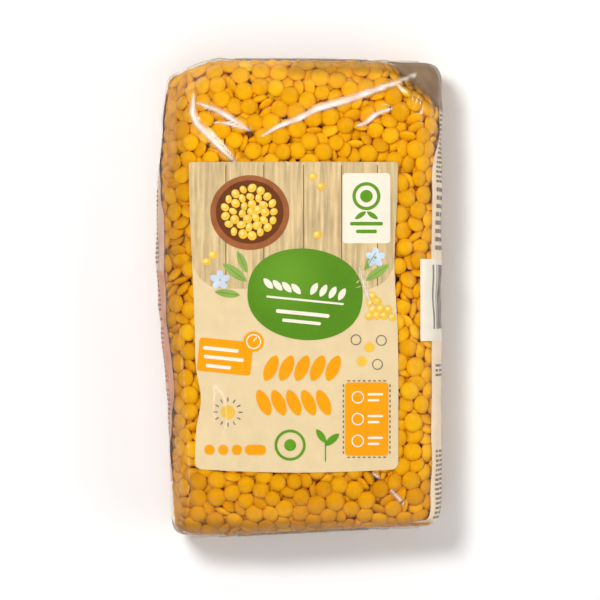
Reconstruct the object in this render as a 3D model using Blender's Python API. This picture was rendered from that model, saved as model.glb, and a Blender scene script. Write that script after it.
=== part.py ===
"""Sealed clear-film pack of dry yellow lentils, lying on its back, front side up.

Metres, +Z up, the pack's top end toward +Y. The origin is on the table under the
middle of the pack. The pack is one closed body: a brick of lentils in tight film,
with folded ends, slack film corners at the top, a dented side, and the lentils
that press through the film wherever it carries no print.
"""

import math
import random

import bmesh
import bpy
from mathutils import Matrix, Vector

# The brick
PACK_LENGTH = 0.1606
FRONT_WIDTH = 0.0908
THICKNESS = 0.0452

# Rounded edges: across, along, front edge and back edge
EDGE_ACROSS = 0.0052
EDGE_ALONG = 0.0100
EDGE_FRONT = 0.0075
EDGE_BACK = 0.0095

# How the filled film departs from a plain brick
SIDE_BULGE = 0.0030
LEFT_SWELL = 0.0052
LEFT_SWELL_AT = 0.018
LEFT_SWELL_REACH_UP = 0.060
LEFT_SWELL_REACH_DOWN = 0.046
LEFT_INSET = 0.0049
FRONT_CROWN = 0.0040
END_DROP = 0.0050
SLACK_CORNER_DROP = 0.0055
SLACK_CORNER_REACH = 0.016
TOP_LEFT_CUT = 0.0040
BOTTOM_RISE = 0.0034
DENT_AT = (-0.0325, -0.0395)
DENT_DEPTH = 0.0026
DENT_REACH = 0.0075
RIPPLE = 0.00035

# Printed fields that hide the lentils
FRONT_PRINT_X = (-0.0374, 0.0338)
FRONT_PRINT_Y = (-0.0575, 0.0460)
SIDE_PRINT_Y = (-0.0760, 0.0700)

# Film that stands clear of the lentils: slack corners (x, y, reach) and the foot
SLACK_CORNERS = ((-0.0370, 0.0735, 0.0070), (0.0405, 0.0745, 0.0085))
SLACK_CORNER_FOOT = 0.030
BARE_FOOT = 0.012

# Folded ends
FLAP_WIDE = 0.062
FLAP_NARROW = 0.044
FLAP_TOP = 0.0330
FLAP_FOOT = 0.0100
FLAP_PROUD = 0.0007
EAR_REACH = 0.026
EAR_PROUD = 0.0004
SEAL_DEEP = 0.0080
SEAL_PROUD = 0.0011
FOLD_ROOT = 0.0015

# Lentils
LENTIL_ACROSS = 0.0064
LENTIL_THICK = 0.0030
LENTIL_SPACING = 0.0057
LENTIL_COUNT = 300
LENTIL_TRIES = 16000
LENTIL_TILT = math.radians(26)
LENTIL_SINK = 0.0008
LENTIL_SIDES = 7
LENTIL_RINGS = 4

# Mesh
ACROSS_STEPS = 10
ALONG_STEPS = 20
UP_STEPS = 3
ROUND_STEPS = 3

FILM_COLOUR = (0.78, 0.42, 0.05, 1.0)
FILM_ROUGHNESS = 0.32
SEED = 11

HALF_WIDTH = FRONT_WIDTH / 2
HALF_LENGTH = PACK_LENGTH / 2
HALF_THICK = THICKNESS / 2


def smooth_step(value, low, high):
    """0 below low, 1 above high, with a smooth rise between them."""
    t = min(max((value - low) / (high - low), 0.0), 1.0)
    return t * t * (3.0 - 2.0 * t)


def round_brick(x, y, z):
    """Move a point of the square brick's skin onto the brick with rounded edges."""
    reach = (EDGE_ACROSS, EDGE_ALONG, EDGE_FRONT if z > 0 else EDGE_BACK)
    half = (HALF_WIDTH, HALF_LENGTH, HALF_THICK)
    inner = [min(max(c, r - h), h - r) for c, h, r in zip((x, y, z), half, reach)]
    out = Vector([(c - i) / r for c, i, r in zip((x, y, z), inner, reach)])
    if out.length > 1e-9:
        out.normalize()
    return Vector([i + o * r for i, o, r in zip(inner, out, reach)])


def thickness_at(across, along):
    """Height of the front face, from the shares -1 to 1 across and along the pack."""
    crown = FRONT_CROWN * abs(across) ** 2.6
    ends = END_DROP * abs(along) ** 5
    x = across * HALF_WIDTH
    y = along * HALF_LENGTH
    height = THICKNESS - crown - ends
    for side in (-1, 1):
        far = math.hypot(x - side * HALF_WIDTH, y - HALF_LENGTH)
        height -= SLACK_CORNER_DROP * (1.0 - smooth_step(far, 0.0, SLACK_CORNER_REACH))
    dent = math.hypot((x - DENT_AT[0]) / 0.7, (y - DENT_AT[1]) / 1.6)
    height -= DENT_DEPTH * math.exp(-(dent / DENT_REACH) ** 2)
    ripple = math.sin(90 * x + 60 * y) + math.sin(150 * x - 110 * y + 1.0)
    return height + RIPPLE * ripple


def fill_out(point):
    """Give the rounded brick the swell, taper and dents of the filled film."""
    x, y, z = point
    across = x / HALF_WIDTH
    along = y / HALF_LENGTH
    up = (z + HALF_THICK) / THICKNESS
    bulge = SIDE_BULGE * (1.0 - (2.0 * up - 1.0) ** 2) * abs(across) ** 6
    if x < 0:
        reach = LEFT_SWELL_REACH_UP if y > LEFT_SWELL_AT else LEFT_SWELL_REACH_DOWN
        swell = LEFT_SWELL * math.exp(-((y - LEFT_SWELL_AT) / reach) ** 2)
        new_x = x - bulge + (LEFT_INSET - swell) * abs(across)
    else:
        new_x = x + bulge
    if y > 0:
        cut = TOP_LEFT_CUT * smooth_step(-x, 0.030, 0.044) + 0.0008 * smooth_step(x, 0.0, 0.04)
    else:
        cut = BOTTOM_RISE * smooth_step(x, -0.045, 0.055)
    new_y = y - math.copysign(cut * abs(along), y)
    return Vector((new_x, new_y, up * thickness_at(across, along)))


def skin_point(x, y, z):
    """A point of the pack's skin from its place on the square brick."""
    return fill_out(round_brick(x, y, z))


def edge_marks(half, low_reach, high_reach, steps):
    """Grid lines across one side of the brick, closer together over its rounded edges."""
    turns = [math.tan(math.radians(45) * i / ROUND_STEPS) for i in range(1, ROUND_STEPS + 1)]
    low = [-half + low_reach - low_reach * t for t in reversed(turns)]
    high = [half - high_reach + high_reach * t for t in turns]
    start = -half + low_reach
    span = 2 * half - low_reach - high_reach
    middle = [start + span * i / steps for i in range(steps + 1)]
    return low + middle + high


def brick_mesh():
    """The pack's closed skin, as a bmesh of quads."""
    marks = (
        edge_marks(HALF_WIDTH, EDGE_ACROSS, EDGE_ACROSS, ACROSS_STEPS),
        edge_marks(HALF_LENGTH, EDGE_ALONG, EDGE_ALONG, ALONG_STEPS),
        edge_marks(HALF_THICK, EDGE_BACK, EDGE_FRONT, UP_STEPS),
    )
    counts = [len(m) - 1 for m in marks]
    mesh = bmesh.new()
    made = {}

    def vertex(index):
        if index not in made:
            place = [m[i] for m, i in zip(marks, index)]
            made[index] = mesh.verts.new(skin_point(*place))
        return made[index]

    for axis in range(3):
        first, second = (axis + 1) % 3, (axis + 2) % 3
        for end in (0, counts[axis]):
            for i in range(counts[first]):
                for j in range(counts[second]):
                    corners = []
                    for di, dj in ((0, 0), (1, 0), (1, 1), (0, 1)):
                        index = [0, 0, 0]
                        index[axis] = end
                        index[first] = i + di
                        index[second] = j + dj
                        corners.append(vertex(tuple(index)))
                    if end == 0:
                        corners.reverse()
                    mesh.faces.new(corners)
    return mesh


def skin_normal(x, z, end):
    """Outward direction of an end's skin, from its neighbours on the grid."""
    step = 0.0005
    y = end * HALF_LENGTH
    side = skin_point(x + step, y, z) - skin_point(x - step, y, z)
    rise = skin_point(x, y, z + step) - skin_point(x, y, z - step)
    return (rise.cross(side) * end).normalized()


def folded_slab(name, end, outline, proud, steps_across, steps_up):
    """A flat fold of film on one end: outline(t) gives its left and right x at height t."""
    mesh = bmesh.new()
    layers = []
    for lift in (-FOLD_ROOT, proud):
        rows = []
        for j in range(steps_up + 1):
            left, right, height = outline(j / steps_up)
            row = []
            for i in range(steps_across + 1):
                x = left + (right - left) * i / steps_across
                z = height - HALF_THICK
                place = skin_point(x, end * HALF_LENGTH, z)
                row.append(mesh.verts.new(place + skin_normal(x, z, end) * lift))
            rows.append(row)
        layers.append(rows)
    inner, outer = layers
    for j in range(steps_up):
        for i in range(steps_across):
            for rows, flip in ((outer, False), (inner, True)):
                corners = [rows[j][i], rows[j][i + 1], rows[j + 1][i + 1], rows[j + 1][i]]
                if flip:
                    corners.reverse()
                mesh.faces.new(corners)
    rim = [(0, i) for i in range(steps_across)]
    rim += [(j, steps_across) for j in range(steps_up)]
    rim += [(steps_up, i) for i in range(steps_across, 0, -1)]
    rim += [(j, 0) for j in range(steps_up, 0, -1)]
    for here, after in zip(rim, rim[1:] + rim[:1]):
        corners = [inner[here[0]][here[1]], inner[after[0]][after[1]]]
        corners += [outer[after[0]][after[1]], outer[here[0]][here[1]]]
        mesh.faces.new(corners)
    bmesh.ops.recalc_face_normals(mesh, faces=mesh.faces)
    return mesh_object(name, mesh)


def flap_outline(t):
    """The end flap: wide at the front edge, narrow at its foot."""
    half = (FLAP_NARROW + (FLAP_WIDE - FLAP_NARROW) * t) / 2
    return -half, half, FLAP_FOOT + (FLAP_TOP - FLAP_FOOT) * t


def seal_outline(t):
    """The pressed seal strip along the flap's foot."""
    half = FLAP_NARROW / 2 + 0.0015
    return -half, half, FLAP_FOOT - 0.002 + SEAL_DEEP * t


def ear_outline(side):
    """A side ear tucked under the flap: a triangle with its tip toward the middle."""
    def outline(t):
        outer = side * (HALF_WIDTH - EDGE_ACROSS)
        tip = outer - side * (0.004 + EAR_REACH * (1.0 - abs(2.0 * t - 1.0)))
        return min(outer, tip), max(outer, tip), 0.010 + 0.026 * t
    return outline


def mesh_object(name, mesh):
    """Put a bmesh into the scene as an object."""
    data = bpy.data.meshes.new(name)
    mesh.to_mesh(data)
    mesh.free()
    item = bpy.data.objects.new(name, data)
    bpy.context.scene.collection.objects.link(item)
    return item


def film_material():
    """Golden lentils behind clear film, as one plain colour."""
    material = bpy.data.materials.new("lentils_in_film")
    material.use_nodes = True
    shader = material.node_tree.nodes["Principled BSDF"]
    shader.inputs["Base Color"].default_value = FILM_COLOUR
    shader.inputs["Roughness"].default_value = FILM_ROUGHNESS
    shader.inputs["Metallic"].default_value = 0.0
    return material


def shows_lentils(place, normal):
    """True where the film is clear, taut and off the table."""
    if normal.z < -0.2 or place.z < BARE_FOOT:
        return False
    if abs(normal.x) > 0.8 and SIDE_PRINT_Y[0] < place.y < SIDE_PRINT_Y[1]:
        return False
    for x, y, reach in SLACK_CORNERS:
        if math.hypot(place.x - x, place.y - y) < reach and place.z > SLACK_CORNER_FOOT:
            return False
    if normal.z > 0.5:
        in_x = FRONT_PRINT_X[0] < place.x < FRONT_PRINT_X[1]
        in_y = FRONT_PRINT_Y[0] < place.y < FRONT_PRINT_Y[1]
        return not (in_x and in_y)
    if abs(normal.y) > 0.5:
        return abs(place.x) < HALF_WIDTH and place.z > FLAP_TOP + 0.002
    return True


def lentil_places(skin):
    """Seeded places and directions of lentils over the clear film, evenly spread."""
    draw = random.Random(SEED)
    mesh = bmesh.new()
    mesh.from_mesh(skin.data)
    bmesh.ops.triangulate(mesh, faces=mesh.faces)
    faces = list(mesh.faces)
    weights = [face.calc_area() for face in faces]
    places = []
    for face in draw.choices(faces, weights, k=LENTIL_TRIES):
        a, b = sorted((draw.random(), draw.random()))
        corners = [vert.co for vert in face.verts]
        place = corners[0] * a + corners[1] * (b - a) + corners[2] * (1.0 - b)
        tilt = Matrix.Rotation(draw.uniform(0.0, LENTIL_TILT), 3, "X")
        spin = Matrix.Rotation(draw.uniform(0.0, math.tau), 3, "Z")
        size = draw.uniform(0.93, 1.07)
        if not shows_lentils(place, face.normal):
            continue
        if any((place - other[0]).length < LENTIL_SPACING for other in places):
            continue
        upright = face.normal.to_track_quat("Z", "Y").to_matrix()
        places.append((place - face.normal * LENTIL_SINK, upright @ spin @ tilt, size))
        if len(places) == LENTIL_COUNT:
            break
    mesh.free()
    return places


def lentil(name, place, turn, size):
    """One lentil: a flat round lens with few sides."""
    mesh = bmesh.new()
    bmesh.ops.create_uvsphere(
        mesh, u_segments=LENTIL_SIDES, v_segments=LENTIL_RINGS, radius=0.5
    )
    flat = Matrix.Diagonal((LENTIL_ACROSS * size, LENTIL_ACROSS * size, LENTIL_THICK, 1.0))
    bmesh.ops.transform(mesh, matrix=turn.to_4x4() @ flat, verts=mesh.verts)
    bmesh.ops.translate(mesh, vec=place, verts=mesh.verts)
    return mesh_object(name, mesh)


def end_folds():
    """The ears, flap and pressed seal of both folded ends."""
    folds = []
    for end, word in ((1, "top"), (-1, "bottom")):
        for side, hand in ((-1, "left"), (1, "right")):
            name = f"{word}_{hand}_ear"
            folds.append(folded_slab(name, end, ear_outline(side), EAR_PROUD, 3, 4))
        folds.append(folded_slab(f"{word}_flap", end, flap_outline, FLAP_PROUD, 6, 2))
        folds.append(folded_slab(f"{word}_seal", end, seal_outline, SEAL_PROUD, 6, 1))
    return folds


def keep_outer_shell(item):
    """Drop closed-off hollows and loose scraps that the joining left."""
    mesh = bmesh.new()
    mesh.from_mesh(item.data)
    bmesh.ops.remove_doubles(mesh, verts=mesh.verts, dist=0.000002)
    bmesh.ops.dissolve_degenerate(mesh, edges=mesh.edges, dist=0.000002)
    bmesh.ops.triangulate(mesh, faces=mesh.faces)
    left = set(mesh.faces)
    shells = []
    while left:
        stack = [left.pop()]
        shell = []
        while stack:
            face = stack.pop()
            shell.append(face)
            for edge in face.edges:
                for other in edge.link_faces:
                    if other in left:
                        left.remove(other)
                        stack.append(other)
        shells.append(shell)
    shells.sort(key=len)
    for shell in shells[:-1]:
        bmesh.ops.delete(mesh, geom=shell, context="FACES")
    bmesh.ops.delete(
        mesh, geom=[vert for vert in mesh.verts if not vert.link_faces], context="VERTS"
    )
    mesh.to_mesh(item.data)
    mesh.free()


def fuse(base, pieces):
    """Join the pieces to the base in one Boolean union, and remove them."""
    group = bpy.data.collections.new("fused")
    bpy.context.scene.collection.children.link(group)
    for piece in pieces:
        bpy.context.scene.collection.objects.unlink(piece)
        group.objects.link(piece)
    union = base.modifiers.new("fuse", "BOOLEAN")
    union.operation = "UNION"
    union.operand_type = "COLLECTION"
    union.collection = group
    union.solver = "EXACT"
    bpy.context.view_layer.objects.active = base
    bpy.ops.object.modifier_apply(modifier=union.name)
    for piece in list(group.objects):
        bpy.data.objects.remove(piece)
    bpy.data.collections.remove(group)
    keep_outer_shell(base)


def build_pack():
    """The whole pack as one named object."""
    pack = mesh_object("lentil_pack", brick_mesh())
    grains = [
        lentil(f"lentil_{i}", place, turn, size)
        for i, (place, turn, size) in enumerate(lentil_places(pack))
    ]
    fuse(pack, end_folds() + grains)
    pack.data.materials.clear()
    pack.data.materials.append(film_material())
    return pack


for old in list(bpy.data.objects):
    bpy.data.objects.remove(old)
build_pack()
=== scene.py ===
"""Pack of dry yellow lentils: printed clear film, folded shut at both ends.

The pack lies on its back with its printed front up, and its top end toward +Y.
"""

import math

import bpy
import bmesh
import numpy as np
from mathutils import Matrix, Vector
from mathutils.bvhtree import BVHTree


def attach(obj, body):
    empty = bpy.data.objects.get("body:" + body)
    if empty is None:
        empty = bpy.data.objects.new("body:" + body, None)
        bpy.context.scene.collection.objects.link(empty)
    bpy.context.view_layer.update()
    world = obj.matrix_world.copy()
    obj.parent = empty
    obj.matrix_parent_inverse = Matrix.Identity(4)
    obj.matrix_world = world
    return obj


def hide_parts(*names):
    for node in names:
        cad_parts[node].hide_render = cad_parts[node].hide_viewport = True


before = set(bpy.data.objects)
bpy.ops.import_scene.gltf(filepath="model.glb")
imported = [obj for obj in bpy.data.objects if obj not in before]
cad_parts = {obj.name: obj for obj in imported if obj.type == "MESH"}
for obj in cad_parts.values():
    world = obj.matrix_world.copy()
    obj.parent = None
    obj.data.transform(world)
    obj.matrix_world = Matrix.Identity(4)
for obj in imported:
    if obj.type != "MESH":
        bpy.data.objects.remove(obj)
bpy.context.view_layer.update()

# The form of the filled pack
# The film takes this form from the lentils inside it: a brick with rounded edges,
# sides that swell, a fuller left side, slack corners at the top and one dent.

PACK_LENGTH = 0.1606
FRONT_WIDTH = 0.0908
THICKNESS = 0.0452
EDGE_ACROSS = 0.0052
EDGE_ALONG = 0.0100
EDGE_FRONT = 0.0075
EDGE_BACK = 0.0095
CORNER_SHARE = 0.6
SIDE_BULGE = 0.0030
LEFT_SWELL = 0.0052
LEFT_SWELL_AT = 0.018
LEFT_SWELL_REACH_UP = 0.060
LEFT_SWELL_REACH_DOWN = 0.046
LEFT_INSET = 0.0049
FRONT_CROWN = 0.0040
END_DROP = 0.0050
SLACK_CORNER_DROP = 0.0055
SLACK_CORNER_REACH = 0.016
TOP_LEFT_CUT = 0.0040
BOTTOM_RISE = 0.0034
DENT_AT = (-0.0325, -0.0395)
DENT_DEPTH = 0.0026
DENT_REACH = 0.0075
RIPPLE = 0.00035
HALF = np.array((FRONT_WIDTH, PACK_LENGTH, THICKNESS)) / 2


def smooth(value, low, high):
    """0 below low, 1 above high, with a smooth rise between them."""
    t = np.clip((value - low) / (high - low), 0.0, 1.0)
    return t * t * (3.0 - 2.0 * t)


def round_brick(points):
    """Move points of the square brick's skin onto the brick with rounded edges.

    The four upright edges are rounded less than the others, by the corner share.
    """
    reach = np.empty_like(points)
    reach[:, 0] = EDGE_ACROSS
    reach[:, 1] = EDGE_ALONG
    reach[:, 2] = np.where(points[:, 2] > 0, EDGE_FRONT, EDGE_BACK)
    near = smooth(np.abs(points[:, 0]), HALF[0] - 2 * EDGE_ACROSS, HALF[0])
    near = near * smooth(np.abs(points[:, 1]), HALF[1] - 2 * EDGE_ALONG, HALF[1])
    reach[:, :2] *= (1.0 - (1.0 - CORNER_SHARE) * near)[:, None]
    inner = np.clip(points, reach - HALF, HALF - reach)
    out = (points - inner) / reach
    length = np.linalg.norm(out, axis=1, keepdims=True)
    out = np.divide(out, length, out=np.zeros_like(out), where=length > 1e-9)
    return inner + out * reach


def front_height(across, along):
    """Height of the front, from the shares -1 to 1 across and along the pack."""
    x = across * HALF[0]
    y = along * HALF[1]
    height = THICKNESS - FRONT_CROWN * np.abs(across) ** 2.6 - END_DROP * np.abs(along) ** 5
    for side in (-1, 1):
        far = np.hypot(x - side * HALF[0], y - HALF[1])
        height = height - SLACK_CORNER_DROP * (1.0 - smooth(far, 0.0, SLACK_CORNER_REACH))
    dent = np.hypot((x - DENT_AT[0]) / 0.7, (y - DENT_AT[1]) / 1.6)
    height = height - DENT_DEPTH * np.exp(-(dent / DENT_REACH) ** 2)
    return height + RIPPLE * (np.sin(90 * x + 60 * y) + np.sin(150 * x - 110 * y + 1.0))


def fill_out(points):
    """Give the rounded brick the swell, taper and dents of the filled film."""
    x, y, z = points.T
    across = x / HALF[0]
    along = y / HALF[1]
    up = (z + HALF[2]) / THICKNESS
    bulge = SIDE_BULGE * (1.0 - (2.0 * up - 1.0) ** 2) * np.abs(across) ** 6
    reach = np.where(y > LEFT_SWELL_AT, LEFT_SWELL_REACH_UP, LEFT_SWELL_REACH_DOWN)
    swell = LEFT_SWELL * np.exp(-((y - LEFT_SWELL_AT) / reach) ** 2)
    left = x - bulge + (LEFT_INSET - swell) * np.abs(across)
    new_x = np.where(x < 0, left, x + bulge)
    cut_top = TOP_LEFT_CUT * smooth(-x, 0.030, 0.044) + 0.0008 * smooth(x, 0.0, 0.04)
    cut_bottom = BOTTOM_RISE * smooth(x, -0.045, 0.055)
    cut = np.where(y > 0, cut_top, cut_bottom)
    new_y = y - np.sign(y) * cut * np.abs(along)
    return np.stack((new_x, new_y, up * front_height(across, along)), axis=1)


def skin(points):
    """Points of the pack's skin from their places on the square brick."""
    return fill_out(round_brick(np.asarray(points, float)))


def edge_marks(half, low_reach, high_reach, steps, round_steps):
    """Grid lines across one side of the brick, closer together over its rounded edges."""
    turns = np.tan(np.radians(45) * np.arange(1, round_steps + 1) / round_steps)
    low = -half + low_reach - low_reach * turns[::-1]
    high = half - high_reach + high_reach * turns
    middle = np.linspace(-half + low_reach, half - high_reach, steps + 1)
    return np.concatenate((low, middle, high))


def brick_grid(steps, round_steps):
    """The square brick's skin as points and quads, facing out."""
    marks = (
        edge_marks(HALF[0], EDGE_ACROSS, EDGE_ACROSS, steps[0], round_steps),
        edge_marks(HALF[1], EDGE_ALONG, EDGE_ALONG, steps[1], round_steps),
        edge_marks(HALF[2], EDGE_BACK, EDGE_FRONT, steps[2], round_steps),
    )
    last = [len(m) - 1 for m in marks]
    places = []
    quads = []
    made = {}

    def corner(index):
        if index not in made:
            made[index] = len(places)
            places.append([m[i] for m, i in zip(marks, index)])
        return made[index]

    for axis in range(3):
        first, second = (axis + 1) % 3, (axis + 2) % 3
        for end in (0, last[axis]):
            for i in range(last[first]):
                for j in range(last[second]):
                    ring = []
                    for di, dj in ((0, 0), (1, 0), (1, 1), (0, 1)):
                        index = [0, 0, 0]
                        index[axis] = end
                        index[first] = i + di
                        index[second] = j + dj
                        ring.append(corner(tuple(index)))
                    quads.append(ring if end else ring[::-1])
    return np.array(places), quads


def new_piece(name, points, faces, material, body="root"):
    """A finished mesh piece that rides on the pack."""
    mesh = bpy.data.meshes.new(name)
    mesh.from_pydata([tuple(p) for p in points], [], [tuple(f) for f in faces])
    mesh.materials.append(material)
    mesh.shade_smooth()
    mesh.update()
    piece = bpy.data.objects.new(name, mesh)
    bpy.context.scene.collection.objects.link(piece)
    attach(piece, body)
    return piece


# The lentils
# Loose dry lentils, hulled whole: soft-edged lenses of about 6.4 by 2.9 mm that were
# poured in, shaken down and pressed against the film by the ones behind them.

LENTIL_RADIUS = 0.0032
LENTIL_HALF_THICK = 0.00148
LENTIL_SEED = 5
LAYER_DEPTHS = (0.0017, 0.0040, 0.0064)
LAYER_SPACING = (0.00475, 0.0050, 0.0052)
HEAP_DEPTH = 0.0078
FILM_CLEARANCE = 0.00030
PRINT_CLEARANCE = 0.00080
EMPTY_TOP_LEFT = 0.0006
EMPTY_TOP_RIGHT = 0.0074
EMPTY_BOTTOM_LEFT = 0.0022
EMPTY_REACH = 0.017
LENTIL_RIM = 1.035
PRINT_LEFT = -0.0374
PRINT_RIGHT = 0.0338
PRINT_BOTTOM = -0.0588
PRINT_TOP = 0.0460
SETTLE_ROUNDS = 140


def contents_form(points):
    """The skin of the heap of lentils: the film's, short of its empty front corners."""
    x, y, z = skin(points).T
    for side, end, empty in (
        (-1, 1, EMPTY_TOP_LEFT), (1, 1, EMPTY_TOP_RIGHT), (-1, -1, EMPTY_BOTTOM_LEFT)
    ):
        far = np.hypot(x - side * HALF[0], y - end * HALF[1])
        pull = 0.75 * empty * (1.0 - smooth(far, 0.0, EMPTY_REACH)) * smooth(z, 0.012, 0.028)
        x = x - side * pull
        y = y - end * pull
    return np.stack((x, y, z), axis=1)


def shows(points, normals):
    """1 where the pack's film is clear, 0 where print hides the lentils."""
    x, y, z = points.T
    margin = 0.0045
    front = normals[:, 2] > 0.55
    back = normals[:, 2] < -0.55
    in_x = (x > PRINT_LEFT + margin) & (x < PRINT_RIGHT - margin)
    in_y = (y > PRINT_BOTTOM + margin) & (y < PRINT_TOP - margin)
    side = (np.abs(normals[:, 0]) > 0.75) & (y > -0.066) & (y < 0.060)
    side &= (z > 0.008) & (z < 0.034)
    return ~(((front | back) & in_x & in_y) | side)


def printed(points, normals):
    """1 where ink lies between the film and the lentils."""
    x, y, z = points.T
    flat = np.abs(normals[:, 2]) > 0.55
    flat &= (x > PRINT_LEFT - 0.001) & (x < PRINT_RIGHT + 0.001)
    flat &= (y > PRINT_BOTTOM - 0.001) & (y < PRINT_TOP + 0.001)
    side = (np.abs(normals[:, 0]) > 0.35) & (y > -0.0765) & (y < 0.0715)
    return flat | (side & (z > 0.0055) & (z < 0.0420))


class HeapSpace:
    """How far a place lies inside the heap's skin, read from a grid of distances."""

    PITCH = 0.002

    def __init__(self):
        places, quads = brick_grid((12, 24, 4), 4)
        places = contents_form(places)
        tree = BVHTree.FromPolygons([tuple(p) for p in places], quads)
        self.low = places.min(axis=0) - 3 * self.PITCH
        count = np.ceil((places.max(axis=0) - self.low) / self.PITCH).astype(int) + 4
        self.count = count
        values = np.empty(count)
        for index in np.ndindex(*count):
            place = Vector(self.low + np.array(index) * self.PITCH)
            near, normal, _, far = tree.find_nearest(place)
            values[index] = math.copysign(far, (place - near).dot(normal))
        self.values = values
        self.slopes = np.stack(np.gradient(values, self.PITCH), axis=-1)

    def read(self, places):
        """Signed distance (negative inside) and outward direction at each place."""
        at = (places - self.low) / self.PITCH
        cell = np.clip(np.floor(at).astype(int), 0, self.count - 2)
        share = np.clip(at - cell, 0.0, 1.0)
        far = 0.0
        out = 0.0
        for di in (0, 1):
            for dj in (0, 1):
                for dk in (0, 1):
                    weight = np.abs(np.array((1 - di, 1 - dj, 1 - dk)) - share).prod(axis=1)
                    corner = tuple((cell + (di, dj, dk)).T)
                    far = far + weight * self.values[corner]
                    out = out + weight[:, None] * self.slopes[corner]
        out /= np.maximum(np.linalg.norm(out, axis=1, keepdims=True), 1e-9)
        return far, out


def spread(rng, places, normals, spacing):
    """Pick places one after another, at least a spacing apart."""
    cells = {}
    kept = []
    for index in rng.permutation(len(places)):
        place = places[index]
        key = tuple((place // spacing).astype(int))
        near = (
            other
            for i in (-1, 0, 1)
            for j in (-1, 0, 1)
            for k in (-1, 0, 1)
            for other in cells.get((key[0] + i, key[1] + j, key[2] + k), ())
        )
        if all(((place - other) ** 2).sum() > spacing * spacing for other in near):
            cells.setdefault(key, []).append(place)
            kept.append(index)
    return places[kept], normals[kept]


def turn_matrices(axis_angle):
    """Rotation matrices from rotation vectors."""
    angle = np.linalg.norm(axis_angle, axis=1)
    axis = axis_angle / np.maximum(angle, 1e-12)[:, None]
    cross = np.zeros((len(angle), 3, 3))
    cross[:, 0, 1] = -axis[:, 2]
    cross[:, 0, 2] = axis[:, 1]
    cross[:, 1, 0] = axis[:, 2]
    cross[:, 1, 2] = -axis[:, 0]
    cross[:, 2, 0] = -axis[:, 1]
    cross[:, 2, 1] = axis[:, 0]
    square = cross @ cross
    sine = np.sin(angle)[:, None, None]
    rest = (1.0 - np.cos(angle))[:, None, None]
    return np.eye(3) + sine * cross + rest * square


def first_places(rng, heap):
    """Layers of lentils in from the film, most of them lying roughly along it."""
    grid, quads = brick_grid((60, 110, 26), 6)
    skin_points = contents_form(grid)
    _, out = heap.read(skin_points)
    clear = shows(skin_points, out)
    spots = []
    turns = []
    for depth, spacing in zip(LAYER_DEPTHS, LAYER_SPACING):
        seen = clear if depth > LAYER_DEPTHS[0] else np.full(len(clear), True)
        places, normals = spread(rng, skin_points[seen], out[seen], spacing)
        places = places - normals * depth + rng.normal(0.0, 0.0004, places.shape)
        count = len(places)
        kind = rng.random(count)
        tilt = np.where(
            kind < 0.24,
            np.abs(rng.normal(0.0, 0.30, count)),
            np.where(kind < 0.60, rng.uniform(0.4, 1.0, count), rng.uniform(1.0, 1.5, count)),
        )
        around = rng.uniform(0.0, math.tau, count)
        any_way = np.cross(normals, rng.normal(size=normals.shape))
        any_way /= np.linalg.norm(any_way, axis=1, keepdims=True)
        upright = np.cross(np.array((0.0, 0.0, 1.0)), normals)
        length = np.linalg.norm(upright, axis=1)
        angle = np.arctan2(length, normals[:, 2])
        upright = upright / np.maximum(length, 1e-9)[:, None] * angle[:, None]
        turned = turn_matrices(any_way * tilt[:, None]) @ turn_matrices(upright)
        spin = np.zeros((count, 3))
        spin[:, 2] = around
        spots.append(places)
        turns.append(turned @ turn_matrices(spin))
    return np.concatenate(spots), np.concatenate(turns)


def ball_pairs(balls, owner, reach):
    """Pairs of balls of different lentils nearer than reach, found cell by cell."""
    cell = np.floor(balls / reach).astype(np.int64)
    cell -= cell.min(axis=0) - 1
    span = cell.max(axis=0) + 2
    key = (cell[:, 0] * span[1] + cell[:, 1]) * span[2] + cell[:, 2]
    order = np.argsort(key, kind="stable")
    sorted_key = key[order]
    firsts = []
    seconds = []
    for i in (-1, 0, 1):
        for j in (-1, 0, 1):
            for k in (-1, 0, 1):
                shift = (i * span[1] + j) * span[2] + k
                if shift < 0:
                    continue
                start = np.searchsorted(sorted_key, key + shift, "left")
                stop = np.searchsorted(sorted_key, key + shift, "right")
                count = stop - start
                first = np.repeat(np.arange(len(balls)), count)
                step = np.arange(count.sum()) - np.repeat(np.cumsum(count) - count, count)
                second = order[np.repeat(start, count) + step]
                if shift == 0:
                    keep = first < second
                    first, second = first[keep], second[keep]
                firsts.append(first)
                seconds.append(second)
    first = np.concatenate(firsts)
    second = np.concatenate(seconds)
    keep = owner[first] != owner[second]
    first, second = first[keep], second[keep]
    near = ((balls[first] - balls[second]) ** 2).sum(axis=1) < reach * reach
    return first[near], second[near]


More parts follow.
